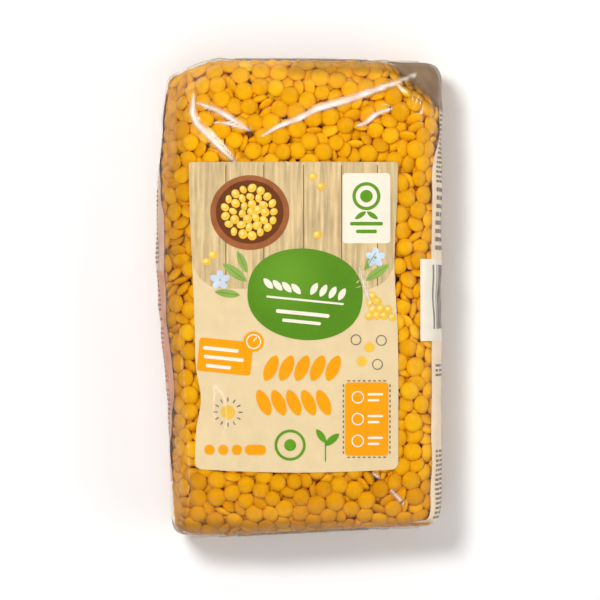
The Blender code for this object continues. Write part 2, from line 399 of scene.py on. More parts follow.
def settle(spots, turns, sizes, heap):
    """Push overlapping lentils apart and turn them, inside the film, until they fit."""
    ring = np.arange(6) * math.tau / 6
    arm = np.stack((np.cos(ring), np.sin(ring), np.zeros(6)), axis=1) * LENTIL_RADIUS * 0.60
    arms = np.concatenate((np.zeros((1, 3)), arm))
    radius = np.array([LENTIL_HALF_THICK] + [LENTIL_RADIUS * 0.36] * 6)
    count = len(spots)
    owner = np.repeat(np.arange(count), 7)
    radii = (radius[None] * sizes[:, None]).ravel()
    wide = np.abs(arms).sum(axis=1) > 0
    for step in range(SETTLE_ROUNDS):
        arm_now = np.einsum("nij,kj->nki", turns, arms) * sizes[:, None, None]
        balls = (spots[:, None] + arm_now).reshape(-1, 3)
        if step % 10 == 0:
            first, second = ball_pairs(balls, owner, 0.0040)
        apart = balls[first] - balls[second]
        far = np.maximum(np.linalg.norm(apart, axis=1), 1e-9)
        over = radii[first] + radii[second] - far
        hit = over > 0
        push = apart[hit] * (0.5 * over[hit] / far[hit])[:, None]
        move = np.zeros_like(balls)
        times = np.zeros(len(balls))
        for axis in range(3):
            move[:, axis] += np.bincount(first[hit], push[:, axis], len(balls))
            move[:, axis] -= np.bincount(second[hit], push[:, axis], len(balls))
        times += np.bincount(first[hit], minlength=len(balls))
        times += np.bincount(second[hit], minlength=len(balls))
        depth, out = heap.read(balls)
        under_print = printed(balls, out)
        limit = -radii - np.where(under_print, PRINT_CLEARANCE, FILM_CLEARANCE)
        beyond = np.maximum(depth - limit, 0.0)
        move -= out * beyond[:, None]
        times += beyond > 0
        sunk = np.maximum(-HEAP_DEPTH - depth, 0.0)
        move += out * (0.5 * sunk)[:, None]
        times += sunk > 0
        move = move.reshape(count, 7, 3)
        times = times.reshape(count, 7)
        touching = np.maximum((times > 0).sum(axis=1), 1)[:, None]
        slide = move.sum(axis=1) / touching
        torque = np.cross(arm_now, move).sum(axis=1)
        stiffness = ((arm_now ** 2).sum(axis=2) * (times > 0)).sum(axis=1)
        swing = torque / np.maximum(stiffness, LENTIL_RADIUS ** 2)[:, None]
        spots = spots + slide
        turns = turn_matrices(np.clip(swing, -0.3, 0.3)) @ turns
        centre_depth, centre_out = heap.read(spots)
        lean = np.clip(-centre_depth - 0.0016, 0.0, 0.004)
        spots = spots + centre_out * (0.012 * lean)[:, None]
        if step % 20 == 19:
            left, _, right = np.linalg.svd(turns)
            turns = left @ right
    return spots, turns


def euler_of(turns):
    """Rotation matrices as X, Y, Z turns, the way Geometry Nodes reads them."""
    return np.array([tuple(Matrix(turn.tolist()).to_euler("XYZ")) for turn in turns])


rng = np.random.default_rng(LENTIL_SEED)
heap = HeapSpace()
lentil_spots, lentil_turns = first_places(rng, heap)
lentil_sizes = np.clip(rng.normal(1.0, 0.055, len(lentil_spots)), 0.85, 1.13)
lentil_spots, lentil_turns = settle(lentil_spots, lentil_turns, lentil_sizes, heap)


def lentil_material():
    """Golden hulled lentils: each its own tone and a soft satin skin."""
    material = bpy.data.materials.new("lentil_skin")
    material.use_nodes = True
    nodes = material.node_tree.nodes
    links = material.node_tree.links
    shader = nodes["Principled BSDF"]
    shader.inputs["Roughness"].default_value = 0.48
    shader.inputs["Specular IOR Level"].default_value = 0.10
    # The tone attribute holds each lentil's random tone and a painted shade that darkens the lentils toward
    # the pack's left and bottom edges.
    tone = nodes.new("ShaderNodeAttribute")
    tone.attribute_name = "tone"
    ramp = nodes.new("ShaderNodeValToRGB")
    stops = ramp.color_ramp.elements
    stops[0].position = 0.0
    stops[0].color = (0.70, 0.285, 0.001, 1.0)
    stops[1].position = 1.0
    stops[1].color = (0.98, 0.56, 0.012, 1.0)
    for place, colour in ((0.35, (0.83, 0.375, 0.001, 1.0)), (0.72, (0.95, 0.465, 0.002, 1.0))):
        stop = stops.new(place)
        stop.color = colour
    links.new(tone.outputs["Fac"], ramp.inputs["Fac"])
    where = nodes.new("ShaderNodeTexCoord")
    mottle = nodes.new("ShaderNodeTexNoise")
    mottle.inputs["Scale"].default_value = 420.0
    mottle.inputs["Detail"].default_value = 4.0
    links.new(where.outputs["Object"], mottle.inputs["Vector"])
    fade = nodes.new("ShaderNodeMapRange")
    fade.inputs["From Min"].default_value = 0.3
    fade.inputs["From Max"].default_value = 0.7
    fade.inputs["To Min"].default_value = 0.90
    fade.inputs["To Max"].default_value = 1.06
    links.new(mottle.outputs["Fac"], fade.inputs["Value"])
    tint = nodes.new("ShaderNodeMix")
    tint.data_type = "RGBA"
    tint.blend_type = "MULTIPLY"
    tint.inputs["Factor"].default_value = 1.0
    links.new(ramp.outputs["Color"], tint.inputs["A"])
    links.new(fade.outputs["Result"], tint.inputs["B"])
    links.new(tint.outputs["Result"], shader.inputs["Base Color"])
    grain = nodes.new("ShaderNodeTexNoise")
    grain.inputs["Scale"].default_value = 2200.0
    grain.inputs["Detail"].default_value = 3.0
    links.new(where.outputs["Object"], grain.inputs["Vector"])
    bump = nodes.new("ShaderNodeBump")
    bump.inputs["Strength"].default_value = 0.25
    bump.inputs["Distance"].default_value = 0.0002
    links.new(grain.outputs["Fac"], bump.inputs["Height"])
    links.new(bump.outputs["Normal"], shader.inputs["Normal"])
    return material


def lentil_tree(material):
    """Geometry Nodes: one lens on every point, turned and sized by its attributes."""
    tree = bpy.data.node_groups.new("lentils_on_points", "GeometryNodeTree")
    face = tree.interface
    face.new_socket("Geometry", in_out="INPUT", socket_type="NodeSocketGeometry")
    across = face.new_socket("Radius", in_out="INPUT", socket_type="NodeSocketFloat")
    across.default_value = LENTIL_RADIUS
    thick = face.new_socket("Half Thickness", in_out="INPUT", socket_type="NodeSocketFloat")
    thick.default_value = LENTIL_HALF_THICK
    for word, count in (("Sides", 12), ("Rings", 6)):
        face.new_socket(word, in_out="INPUT", socket_type="NodeSocketInt").default_value = count
    uneven = face.new_socket("Unevenness", in_out="INPUT", socket_type="NodeSocketFloat")
    uneven.default_value = 0.0004
    face.new_socket("Geometry", in_out="OUTPUT", socket_type="NodeSocketGeometry")
    nodes = tree.nodes
    links = tree.links
    given = nodes.new("NodeGroupInput")
    ball = nodes.new("GeometryNodeMeshUVSphere")
    links.new(given.outputs["Sides"], ball.inputs["Segments"])
    links.new(given.outputs["Rings"], ball.inputs["Rings"])
    ball.inputs["Radius"].default_value = 1.0
    place = nodes.new("GeometryNodeInputPosition")
    parts = nodes.new("ShaderNodeSeparateXYZ")
    links.new(place.outputs[0], parts.inputs[0])
    height = nodes.new("ShaderNodeMath")
    height.operation = "ABSOLUTE"
    links.new(parts.outputs["Z"], height.inputs[0])
    lens = nodes.new("ShaderNodeMath")
    lens.operation = "POWER"
    lens.inputs[1].default_value = 0.25
    links.new(height.outputs[0], lens.inputs[0])
    curve = nodes.new("ShaderNodeMath")
    curve.operation = "MULTIPLY"
    links.new(lens.outputs[0], curve.inputs[0])
    links.new(parts.outputs["Z"], curve.inputs[1])
    joined = nodes.new("ShaderNodeCombineXYZ")
    links.new(parts.outputs["X"], joined.inputs["X"])
    links.new(parts.outputs["Y"], joined.inputs["Y"])
    links.new(curve.outputs[0], joined.inputs["Z"])
    size = nodes.new("ShaderNodeCombineXYZ")
    links.new(given.outputs["Radius"], size.inputs["X"])
    links.new(given.outputs["Radius"], size.inputs["Y"])
    links.new(given.outputs["Half Thickness"], size.inputs["Z"])
    scaled = nodes.new("ShaderNodeVectorMath")
    scaled.operation = "MULTIPLY"
    links.new(joined.outputs[0], scaled.inputs[0])
    links.new(size.outputs[0], scaled.inputs[1])
    shaped = nodes.new("GeometryNodeSetPosition")
    links.new(ball.outputs["Mesh"], shaped.inputs["Geometry"])
    links.new(scaled.outputs[0], shaped.inputs["Position"])
    put = nodes.new("GeometryNodeInstanceOnPoints")
    links.new(given.outputs["Geometry"], put.inputs["Points"])
    links.new(shaped.outputs["Geometry"], put.inputs["Instance"])
    for word, socket in (("turn", "Rotation"), ("grow", "Scale")):
        read = nodes.new("GeometryNodeInputNamedAttribute")
        read.data_type = "FLOAT_VECTOR"
        read.inputs["Name"].default_value = word
        links.new(read.outputs["Attribute"], put.inputs[socket])
    real = nodes.new("GeometryNodeRealizeInstances")
    links.new(put.outputs["Instances"], real.inputs["Geometry"])
    wave = nodes.new("ShaderNodeTexNoise")
    wave.inputs["Scale"].default_value = 190.0
    wave.inputs["Detail"].default_value = 1.0
    centred = nodes.new("ShaderNodeVectorMath")
    centred.operation = "SUBTRACT"
    centred.inputs[1].default_value = (0.5, 0.5, 0.5)
    links.new(wave.outputs["Color"], centred.inputs[0])
    amount = nodes.new("ShaderNodeVectorMath")
    amount.operation = "SCALE"
    links.new(centred.outputs[0], amount.inputs[0])
    links.new(given.outputs["Unevenness"], amount.inputs["Scale"])
    bent = nodes.new("GeometryNodeSetPosition")
    links.new(real.outputs["Geometry"], bent.inputs["Geometry"])
    links.new(amount.outputs[0], bent.inputs["Offset"])
    soft = nodes.new("GeometryNodeSetShadeSmooth")
    links.new(bent.outputs["Geometry"], soft.inputs["Geometry"])
    dressed = nodes.new("GeometryNodeSetMaterial")
    dressed.inputs["Material"].default_value = material
    links.new(soft.outputs["Geometry"], dressed.inputs["Geometry"])
    out = nodes.new("NodeGroupOutput")
    links.new(dressed.outputs["Geometry"], out.inputs["Geometry"])
    return tree


def lentil_piece(name, chosen, tree, rng, sides=14, rings=5):
    """The chosen lentils as one plain mesh."""
    mesh = bpy.data.meshes.new(name + "_points")
    mesh.from_pydata([tuple(p) for p in lentil_spots[chosen]], [], [])
    turn = mesh.attributes.new("turn", "FLOAT_VECTOR", "POINT")
    turn.data.foreach_set("vector", euler_of(lentil_turns[chosen]).ravel())
    count = int(chosen.sum())
    grow = np.repeat(lentil_sizes[chosen][:, None], 3, axis=1)
    grow[:, 1] *= rng.uniform(0.93, 1.0, count)
    grow[:, 2] *= rng.uniform(0.84, 1.0, count)
    mesh.attributes.new("grow", "FLOAT_VECTOR", "POINT").data.foreach_set("vector", grow.ravel())
    # Painted shade: lentils toward the pack's left and bottom edges get a darker tone, standing in for the
    # shade that falls there; around that the tone varies at random.
    painted_shade_left = smooth(-lentil_spots[chosen][:, 0], 0.0330, 0.0420)
    painted_shade_bottom = smooth(-lentil_spots[chosen][:, 1], 0.0560, 0.0640)
    middle = 0.60 - 0.46 * np.maximum(0.7 * painted_shade_left, painted_shade_bottom)
    tone = np.clip(rng.normal(0.0, 0.15, count) + middle, 0.0, 1.0)
    mesh.attributes.new("tone", "FLOAT", "POINT").data.foreach_set("value", tone)
    points = bpy.data.objects.new(name + "_points", mesh)
    bpy.context.scene.collection.objects.link(points)
    nodes = points.modifiers.new("lentils", "NODES")
    nodes.node_group = tree
    sizes = {
        "Sides": sides, "Rings": rings, "Unevenness": 0.00035, "Radius": LENTIL_RADIUS * LENTIL_RIM
    }
    for socket in tree.interface.items_tree:
        if socket.in_out == "INPUT" and socket.name in sizes:
            nodes[socket.identifier] = sizes[socket.name]
    shown = points.evaluated_get(bpy.context.evaluated_depsgraph_get())
    whole = bpy.data.meshes.new_from_object(shown)
    points.modifiers.remove(nodes)
    bpy.data.objects.remove(points)
    whole.name = name
    piece = bpy.data.objects.new(name, whole)
    bpy.context.scene.collection.objects.link(piece)
    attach(piece, "root")
    return piece


lentil_finish = lentil_material()
lentils_on_points = lentil_tree(lentil_finish)
_, lentil_out = heap.read(lentil_spots)
in_sight = shows(lentil_spots, lentil_out)
at_front = in_sight & (lentil_out[:, 2] > 0.5)
at_back = in_sight & (lentil_out[:, 2] < -0.5)
lentil_piece("lentils_front", at_front, lentils_on_points, rng)
lentil_piece("lentils_ends", in_sight & ~at_front & ~at_back, lentils_on_points, rng)
lentil_piece("lentils_back", at_back, lentils_on_points, rng)
lentil_piece("lentils_under_print", ~in_sight, lentils_on_points, rng, 9, 5)


# The heap behind
# The lentils further in, seen only as deep shade between the outer ones: one lumpy
# heap, as the pack is full and nothing behind the first layers can be told apart.

CORE_DEPTH = 0.0056
CORE_LUMP = 0.0009


def grow_in(points, quads, depth):
    """Points moved inward along the surface's own direction."""
    corners = points[np.array(quads)]
    faces = np.cross(corners[:, 2] - corners[:, 0], corners[:, 3] - corners[:, 1])
    normals = np.zeros_like(points)
    for column in np.array(quads).T:
        np.add.at(normals, column, faces)
    normals /= np.linalg.norm(normals, axis=1, keepdims=True)
    return points - normals * np.reshape(depth, (-1, 1)), normals


def shade_material():
    """Lentils in deep shade: dark amber, uneven."""
    material = bpy.data.materials.new("lentils_in_shade")
    material.use_nodes = True
    nodes = material.node_tree.nodes
    links = material.node_tree.links
    shader = nodes["Principled BSDF"]
    shader.inputs["Roughness"].default_value = 0.9
    where = nodes.new("ShaderNodeTexCoord")
    cells = nodes.new("ShaderNodeTexVoronoi")
    cells.inputs["Scale"].default_value = 190.0
    links.new(where.outputs["Object"], cells.inputs["Vector"])
    ramp = nodes.new("ShaderNodeValToRGB")
    ramp.color_ramp.elements[0].color = (0.50, 0.17, 0.008, 1.0)
    ramp.color_ramp.elements[1].color = (0.16, 0.04, 0.003, 1.0)
    links.new(cells.outputs["Distance"], ramp.inputs["Fac"])
    links.new(ramp.outputs["Color"], shader.inputs["Base Color"])
    return material


def heap_core():
    """The lumpy heap behind the loose lentils."""
    places, quads = brick_grid((34, 60, 14), 3)
    form = contents_form(places)
    lumps = CORE_LUMP * (
        np.sin(900 * form[:, 0] + 500 * form[:, 1])
        + np.sin(1000 * form[:, 1] - 450 * form[:, 2])
        + np.sin(950 * form[:, 2] + 700 * form[:, 0])
    )
    inner, _ = grow_in(form, quads, CORE_DEPTH + lumps)
    return new_piece("lentils_behind", inner, quads, shade_material())


heap_core()


# The film
# Clear glossy film of 0.05 mm, drawn round the lentils. It lies on their tops, dips
# between them and is creased where the brick was folded and handled.

FILM_STEPS = (120, 216, 26)
FILM_ROUNDS = 6
SAG_SHARE = 0.45
SAG_LIMIT = 0.0011
CREASE_SLOPE = math.tan(math.radians(23))
# Bold creases: points across and along in mm, and the width of the flat side in mm
BOLD_CREASES = (
    (((-13.5, 53.4), (-6.5, 57.4), (0.4, 60.0), (5.6, 63.0), (16.6, 66.2), (32.5, 72.0), (40.5, 75.6)), 2.9),
    (((-35.4, 69.5), (-35.8, 61.6), (-34.4, 58.3), (-27.9, 51.7), (-20.6, 44.6)), 2.8),
    (((-35.0, 65.6), (-27.8, 62.7), (-20.0, 58.3), (-15.7, 55.2)), 2.3),
    (((-29.1, 58.6), (-23.9, 58.3), (-15.5, 55.6)), 1.5),
    (((18.8, 57.3), (22.3, 58.4), (25.2, 61.0), (27.8, 62.3), (31.3, 63.2)), 2.0),
    (((19.8, 11.5), (21.6, 4.0), (24.6, -4.0)), 1.3),
    (((23.9, -58.2), (27.4, -60.6)), 1.0),
    (((29.9, -63.5), (35.6, -69.6)), 1.2),
)
CREST_ROUND = 0.06
# Soft creases: points across and along in mm, half width and height in mm
CREASES = (
    (((36.5, 40.0), (36.3, 12.0), (37.0, -20.0), (36.0, -60.0)), 1.1, 0.30),
    (((-40.5, 60.0), (-41.0, 20.0), (-40.0, -25.0)), 1.2, 0.28),
    (((-44.0, -30.0), (-38.0, -36.5), (-33.0, -39.0)), 0.8, 0.50),
    (((-44.0, -47.0), (-38.0, -42.5), (-32.5, -40.0)), 0.8, 0.45),
    (((-41.0, 75.0), (-35.0, 70.0), (-31.0, 62.0)), 1.0, 0.60),
    (((42.5, 74.5), (38.5, 70.5), (37.0, 62.0)), 1.0, 0.60),
    (((30.0, 77.5), (38.0, 74.5), (42.0, 69.0)), 0.9, 0.50),
)
SMALL_CREASES = 80
CREASE_SEED = 8
SEAM_X = 0.003
SEAM_RECESS = 0.00045


def beside_path(spots, path):
    """Distance left of a path in mm (right is negative), and the share of its length."""
    path = np.array(path) / 1000.0
    steps = np.linalg.norm(np.diff(path, axis=0), axis=1)
    reached = np.concatenate(((0.0,), np.cumsum(steps)))
    near = np.full(len(spots), 1.0)
    side = np.ones(len(spots))
    along = np.zeros(len(spots))
    for start, step, before in zip(path[:-1], np.diff(path, axis=0), reached):
        share = np.clip(((spots - start) @ step) / (step @ step), 0.0, 1.0)
        off = spots - start - share[:, None] * step
        far = np.linalg.norm(off, axis=1)
        closer = far < near
        near = np.where(closer, far, near)
        left = np.where(step[0] * off[:, 1] - step[1] * off[:, 0] > 0, 1.0, -1.0)
        side = np.where(closer, left, side)
        along = np.where(closer, before + share * np.linalg.norm(step), along)
    return near * side * 1000.0, np.clip(along / reached[-1], 0.0, 1.0)


def crease_rise(spots, path, width, height):
    """How far one soft crease lifts the film at each spot, in metres."""
    off, along = beside_path(spots, path)
    return height / 1000.0 * np.exp(-(off / width) ** 2) * np.sin(math.pi * along) ** 0.7


def bold_rise(spots, path, width):
    """How far a bold crease lifts the film, where it holds the film taut, and its crest.

    It has a flat slope on its left and a short drop on its right. The last two are
    shares from 0 to 1.
    """
    off, along = beside_path(spots, path)
    wide = width * np.sin(math.pi * along) ** 0.5 + 0.01
    aim = np.array(path[-1]) - np.array(path[0])
    aim = np.array((-aim[1], aim[0])) / np.linalg.norm(aim)
    here = front_height(spots[:, 0] / HALF[0], spots[:, 1] / HALF[1])
    ahead = spots + aim * 0.001
    fall = (here - front_height(ahead[:, 0] / HALF[0], ahead[:, 1] / HALF[1])) / 0.001
    share = np.clip(off / wide, 0.0, 1.0)
    slope = 1.0 - share - CREST_ROUND * np.exp(-share / CREST_ROUND)
    drop = (1.0 - CREST_ROUND) * np.exp(-(np.minimum(off, 0.0) / (0.45 * wide)) ** 2)
    steep = np.maximum(CREASE_SLOPE - fall, 0.15)
    taut = smooth(off, -1.2 * wide, -0.5 * wide) * (1.0 - smooth(off, 1.1 * wide, 1.9 * wide))
    taut = taut * smooth(wide, 0.2, 0.8)
    crest = np.maximum(np.where(off > 0, slope, drop), 0.0)
    return steep * wide / 1000.0 * crest, taut, crest * smooth(wide, 0.1, 0.9)


def small_creases(rng):
    """Short random creases, most of them near the front's edges and corners."""
    lines = []
    for _ in range(SMALL_CREASES):
        side = rng.choice((-1, 1))
        if rng.random() < 0.5:
            start = np.array((side * rng.uniform(36.0, 43.0), rng.uniform(-72.0, 76.0)))
        else:
            start = np.array((rng.uniform(-40.0, 40.0), side * rng.uniform(62.0, 77.0)))
        angle = math.atan2(start[1] * 0.6, start[0]) + rng.normal(0.0, 0.5)
        length = rng.uniform(3.0, 9.0)
        stop = start - length * np.array((math.cos(angle), math.sin(angle)))
        lines.append(((tuple(start), tuple(stop)), rng.uniform(0.45, 0.8), rng.uniform(0.08, 0.30)))
    return lines


def film_shape():
    """The film's points and quads, creased and drawn onto the lentils."""
    places, quads = brick_grid(FILM_STEPS, FILM_ROUNDS)
    points = skin(places)
    up = (places[:, 2] + HALF[2]) / THICKNESS
    front = smooth(up, 0.80, 0.97)
    spots = points[:, :2]
    rise = np.zeros(len(points))
    taut = np.zeros(len(points))
    crest = np.zeros(len(points))
    on_front = np.where(front > 0.0)[0]
    for path, width, height in CREASES + tuple(small_creases(np.random.default_rng(CREASE_SEED))):
        rise[on_front] += crease_rise(spots[on_front], path, width, height)
    for path, width in BOLD_CREASES:
        lift, held, top = bold_rise(spots[on_front], path, width)
        rise[on_front] = np.maximum(rise[on_front] * (1.0 - held), lift)
        taut[on_front] = np.maximum(taut[on_front], held)
        crest[on_front] = np.maximum(crest[on_front], top)
    _, normals = grow_in(points, quads, 0.0)
    points[:, 2] += rise * front
    recess = SEAM_RECESS * (1.0 - smooth(np.abs(points[:, 0] - SEAM_X), 0.007, 0.016))
    points[:, 2] += np.where(normals[:, 2] < -0.5, recess, 0.0)
    x, y, z = points.T
    crumple = (
        np.sin(310 * y + 120 * z + 2.0 * np.sin(90 * y))
        + np.sin(260 * y - 380 * z)
        + np.sin(700 * z + 150 * y + 1.3)
    )
    lean = np.abs(normals[:, 0]) > 0.6
    points[:, 0] += np.where(lean, normals[:, 0] * 0.00016 * crumple, 0.0)
    waves = np.sin(260 * x + 500 * z) + np.sin(420 * x - 330 * z + 0.7)
    lean = np.abs(normals[:, 1]) > 0.6
    points[:, 1] += np.where(lean, normals[:, 1] * 0.00008 * waves, 0.0)
    return points, quads, normals, rise * front, taut, crest * front


def lentil_surface():
    """All loose lentils as one search tree."""
    corners = []
    faces = []
    for name in ("lentils_front", "lentils_ends", "lentils_back", "lentils_under_print"):
        mesh = bpy.data.objects[name].data
        start = len(corners)
        corners += [tuple(v.co) for v in mesh.vertices]
        faces += [[start + i for i in p.vertices] for p in mesh.polygons]
    return BVHTree.FromPolygons(corners, faces)


def smooth_over(values, quads, rounds):
    """Even out a value over neighbouring points."""
    ring = np.array(quads)
    for _ in range(rounds):
        total = np.zeros(len(values))
        count = np.zeros(len(values))
        mean = values[ring].mean(axis=1)
        for column in ring.T:
            total += np.bincount(column, mean, len(values))
            count += np.bincount(column, minlength=len(values))
        values = total / count
    return values


def film_material(name, veil_dark, veil_light):
    """Clear film: see-through, with a glossy skin, a faint milky veil at its folds, a dark veil at its edges
    and empty corners that is partly painted shade, and near-white painted highlights along its bold creases.
    """
    material = bpy.data.materials.new(name)
    material.use_nodes = True
    nodes = material.node_tree.nodes
    links = material.node_tree.links
    veil = nodes["Principled BSDF"]
    veil.inputs["Roughness"].default_value = 0.40
    veil.inputs["Specular IOR Level"].default_value = 0.15
    where = nodes.new("ShaderNodeTexCoord")
    cloud = nodes.new("ShaderNodeTexNoise")
    cloud.inputs["Scale"].default_value = 140.0
    cloud.inputs["Detail"].default_value = 3.0
    links.new(where.outputs["Object"], cloud.inputs["Vector"])
    tint = nodes.new("ShaderNodeValToRGB")
    tint.color_ramp.elements[0].position = 0.3
    tint.color_ramp.elements[0].color = veil_dark
    tint.color_ramp.elements[1].position = 0.7
    tint.color_ramp.elements[1].color = veil_light
    links.new(cloud.outputs["Fac"], tint.inputs["Fac"])
    veiled = tint.outputs["Color"]
    # The first attribute lays dark amber over the veil, partly as painted shade; the second lays near-white
    # over it, a painted highlight along the crease crests.
    for word, colour in (("amber", (0.32, 0.145, 0.010, 1.0)), ("worn", (0.95, 0.90, 0.82, 1.0))):
        share = nodes.new("ShaderNodeAttribute")
        share.attribute_name = word
        mixed = nodes.new("ShaderNodeMix")
        mixed.data_type = "RGBA"
        links.new(share.outputs["Fac"], mixed.inputs["Factor"])
        links.new(veiled, mixed.inputs["A"])
        mixed.inputs["B"].default_value = colour
        veiled = mixed.outputs["Result"]
    links.new(veiled, veil.inputs["Base Color"])
    out = nodes["Material Output"]
    clear = nodes.new("ShaderNodeBsdfTransparent")
    clear.inputs["Color"].default_value = (0.985, 0.98, 0.97, 1.0)
    shine = nodes.new("ShaderNodeBsdfAnisotropic")
    shine.inputs["Color"].default_value = (1.0, 1.0, 1.0, 1.0)
    shine.inputs["Roughness"].default_value = 0.16
    facing = nodes.new("ShaderNodeFresnel")
    facing.inputs["IOR"].default_value = 1.5
    double = nodes.new("ShaderNodeMath")
    double.operation = "MULTIPLY"
    double.use_clamp = True
    double.inputs[1].default_value = 1.25
    links.new(facing.outputs["Fac"], double.inputs[0])
    capped = nodes.new("ShaderNodeMath")
    capped.operation = "MINIMUM"
    capped.inputs[1].default_value = 0.07
    links.new(double.outputs[0], capped.inputs[0])
    gloss = nodes.new("ShaderNodeMixShader")
    links.new(capped.outputs[0], gloss.inputs["Fac"])
    links.new(clear.outputs[0], gloss.inputs[1])
    links.new(shine.outputs[0], gloss.inputs[2])
    haze = nodes.new("ShaderNodeAttribute")
    haze.attribute_name = "haze"
    both = nodes.new("ShaderNodeMixShader")
    links.new(haze.outputs["Fac"], both.inputs["Fac"])
    links.new(gloss.outputs[0], both.inputs[1])
    links.new(veil.outputs[0], both.inputs[2])
    links.new(both.outputs[0], out.inputs["Surface"])
    return material


film_points, film_quads, film_normals, film_rise, film_taut, film_crest = film_shape()
lentil_tree_near = lentil_surface()
gap = np.array([lentil_tree_near.find_nearest(Vector(p))[3] for p in film_points])
inked = smooth_over(printed(film_points, film_normals).astype(float), film_quads, 3)
sag = (SAG_SHARE - 0.32 * inked) * np.clip(gap - 0.0002, 0.0, SAG_LIMIT)
sag = np.minimum(smooth_over(sag, film_quads, 2), np.maximum(gap - 0.0001, 0.0))
sag = sag * smooth(film_points[:, 2], 0.0008, 0.004) * (1.0 - smooth(film_rise, 0.0001, 0.0004))
sag = sag * (1.0 - film_taut) * (1.0 - 0.85 * smooth(film_points[:, 1], 0.0655, 0.0690))
film_points = film_points - film_normals * sag[:, None]
# The clear film's veil is dark brown: partly the haze of folded film, partly painted shade over the empty
# corners and edges.
clear_film = film_material("clear_film", (0.19, 0.115, 0.060, 1.0), (0.30, 0.195, 0.110, 1.0))
folded_film = film_material("folded_film", (0.44, 0.39, 0.33, 1.0), (0.64, 0.59, 0.53, 1.0))
film = new_piece("film", film_points, film_quads, clear_film)
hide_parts("lentil_pack")
x, y, z = film_points.T
corners = np.zeros(len(x))
# Empty corners: side, end, where each starts across and along, its two legs, and its haze. Their dark
# grey-brown haze is partly film haze and partly painted shade.
for side, end, start_x, start_y, leg_x, leg_y, amount in (
    (-1, 1, 0.0385, 0.0722, 0.0075, 0.0072, 0.80),
    (1, 1, 0.0325, 0.0665, 0.0126, 0.0112, 0.94),
    (-1, -1, 0.0372, 0.0735, 0.0075, 0.0068, 0.70),
):
    past = (side * x - start_x) / leg_x + (end * y - start_y) / leg_y
    corners = np.maximum(corners, amount * smooth(past, 0.85, 1.10))
corners = corners * smooth(z, 0.016, 0.023)
# Dark amber veil along the top, bottom and left edges: partly film haze, partly painted shade that darkens
# the lentils near those edges.
top_haze_and_shade = smooth(y, 0.0740, 0.0770) * smooth(x, -0.010, 0.004)
bottom_haze_and_shade = smooth(-y, 0.0735, 0.0760)
margin = np.maximum(0.30 * top_haze_and_shade, 0.28 * bottom_haze_and_shade)
margin = np.maximum(margin, 0.18 * smooth(-x, 0.0345, 0.0425))
margin = margin * (1.0 - corners) * smooth(z, 0.026, 0.036)
# Painted highlight: near-white bands along the bold creases' crests stand in for glints on the film, with
# soft edges and a strength that varies along them.
glint_streaks = 0.82 + 0.18 * np.sin(520 * x + 330 * y + 2.0 * np.sin(260 * x))
worn = 0.92 * glint_streaks * smooth(film_crest, 0.32, 0.92)
haze = corners + margin * (1.0 + 0.25 * np.sin(900 * x + 300 * y) * np.sin(700 * y))
haze = np.clip(haze + 0.03 * smooth(film_rise, 0.0001, 0.0008), 0.0, 0.94) * (1.0 - worn) + worn
for word, values in (
    ("haze", haze),
    ("amber", margin / np.maximum(margin + corners, 0.02)),
    ("worn", worn / np.maximum(haze, 0.02)),
):
    film.data.attributes.new(word, "FLOAT", "POINT").data.foreach_set("value", np.clip(values, 0.0, 1.0))
film_tree = BVHTree.FromPolygons([tuple(p) for p in film_points], film_quads)


# The folded ends
# At each end the sides of the film tube are tucked in as two ears, the front is folded
# down over them as a flap, and the tube's pressed seal lies flat across the flap's foot.

FLAP_WIDE = 0.062
FLAP_NARROW = 0.044
FLAP_TOP = 0.0330
FLAP_FOOT = 0.0100
FLAP_LIFT = 0.00085
EAR_REACH = 0.026
EAR_FOOT = 0.010
EAR_HIGH = 0.026
EAR_LIFT = 0.00050
SEAL_DEEP = 0.0080
SEAL_LIFT = 0.00120
SEAL_RIB = 0.00012
SEAL_RIB_PITCH = 0.0011
FOLD_THICK = 0.00022


def end_skin(x, z, end):
    """Points of one end's film and the directions out of it."""
    step = 0.0005
    at = np.stack((x, np.full_like(x, end * HALF[1]), z), axis=1)
    side = skin(at + (step, 0.0, 0.0)) - skin(at - (step, 0.0, 0.0))
    rise = skin(at + (0.0, 0.0, step)) - skin(at - (0.0, 0.0, step))
    out = np.cross(rise, side) * end
    return skin(at), out / np.linalg.norm(out, axis=1, keepdims=True)


def sheet_faces(across, upward):
    """Faces of a closed flat sheet made of an inner and an outer grid of points."""
    size = (across + 1) * (upward + 1)
    faces = []
    for j in range(upward):
        for i in range(across):
            first = j * (across + 1) + i
            ring = [first, first + 1, first + across + 2, first + across + 1]
            faces.append([size + corner for corner in ring])
            faces.append(ring[::-1])
    rim = [i for i in range(across)]
    rim += [j * (across + 1) + across for j in range(upward)]
    rim += [upward * (across + 1) + i for i in range(across, 0, -1)]
    rim += [j * (across + 1) for j in range(upward, 0, -1)]
    for here, after in zip(rim, rim[1:] + rim[:1]):
        faces.append([here, after, size + after, size + here])
    return faces


def fold_sheet(name, inner, outer, across, upward, edge, free=1.0):
    """A closed sheet of folded film, paler along its rim where that is free of the pack."""
    points = np.concatenate((inner, outer))
    faces = sheet_faces(across, upward)
    sheet = new_piece(name, points, faces, folded_film)
    turned = bmesh.new()
    turned.from_mesh(sheet.data)
    bmesh.ops.recalc_face_normals(turned, faces=turned.faces)
    turned.to_mesh(sheet.data)
    turned.free()
    veil = (0.06 + 0.30 * np.exp(-(edge / 0.0006) ** 2)) * free
    veil = np.concatenate((veil, veil))
    sheet.data.attributes.new("haze", "FLOAT", "POINT").data.foreach_set("value", veil)
    return sheet


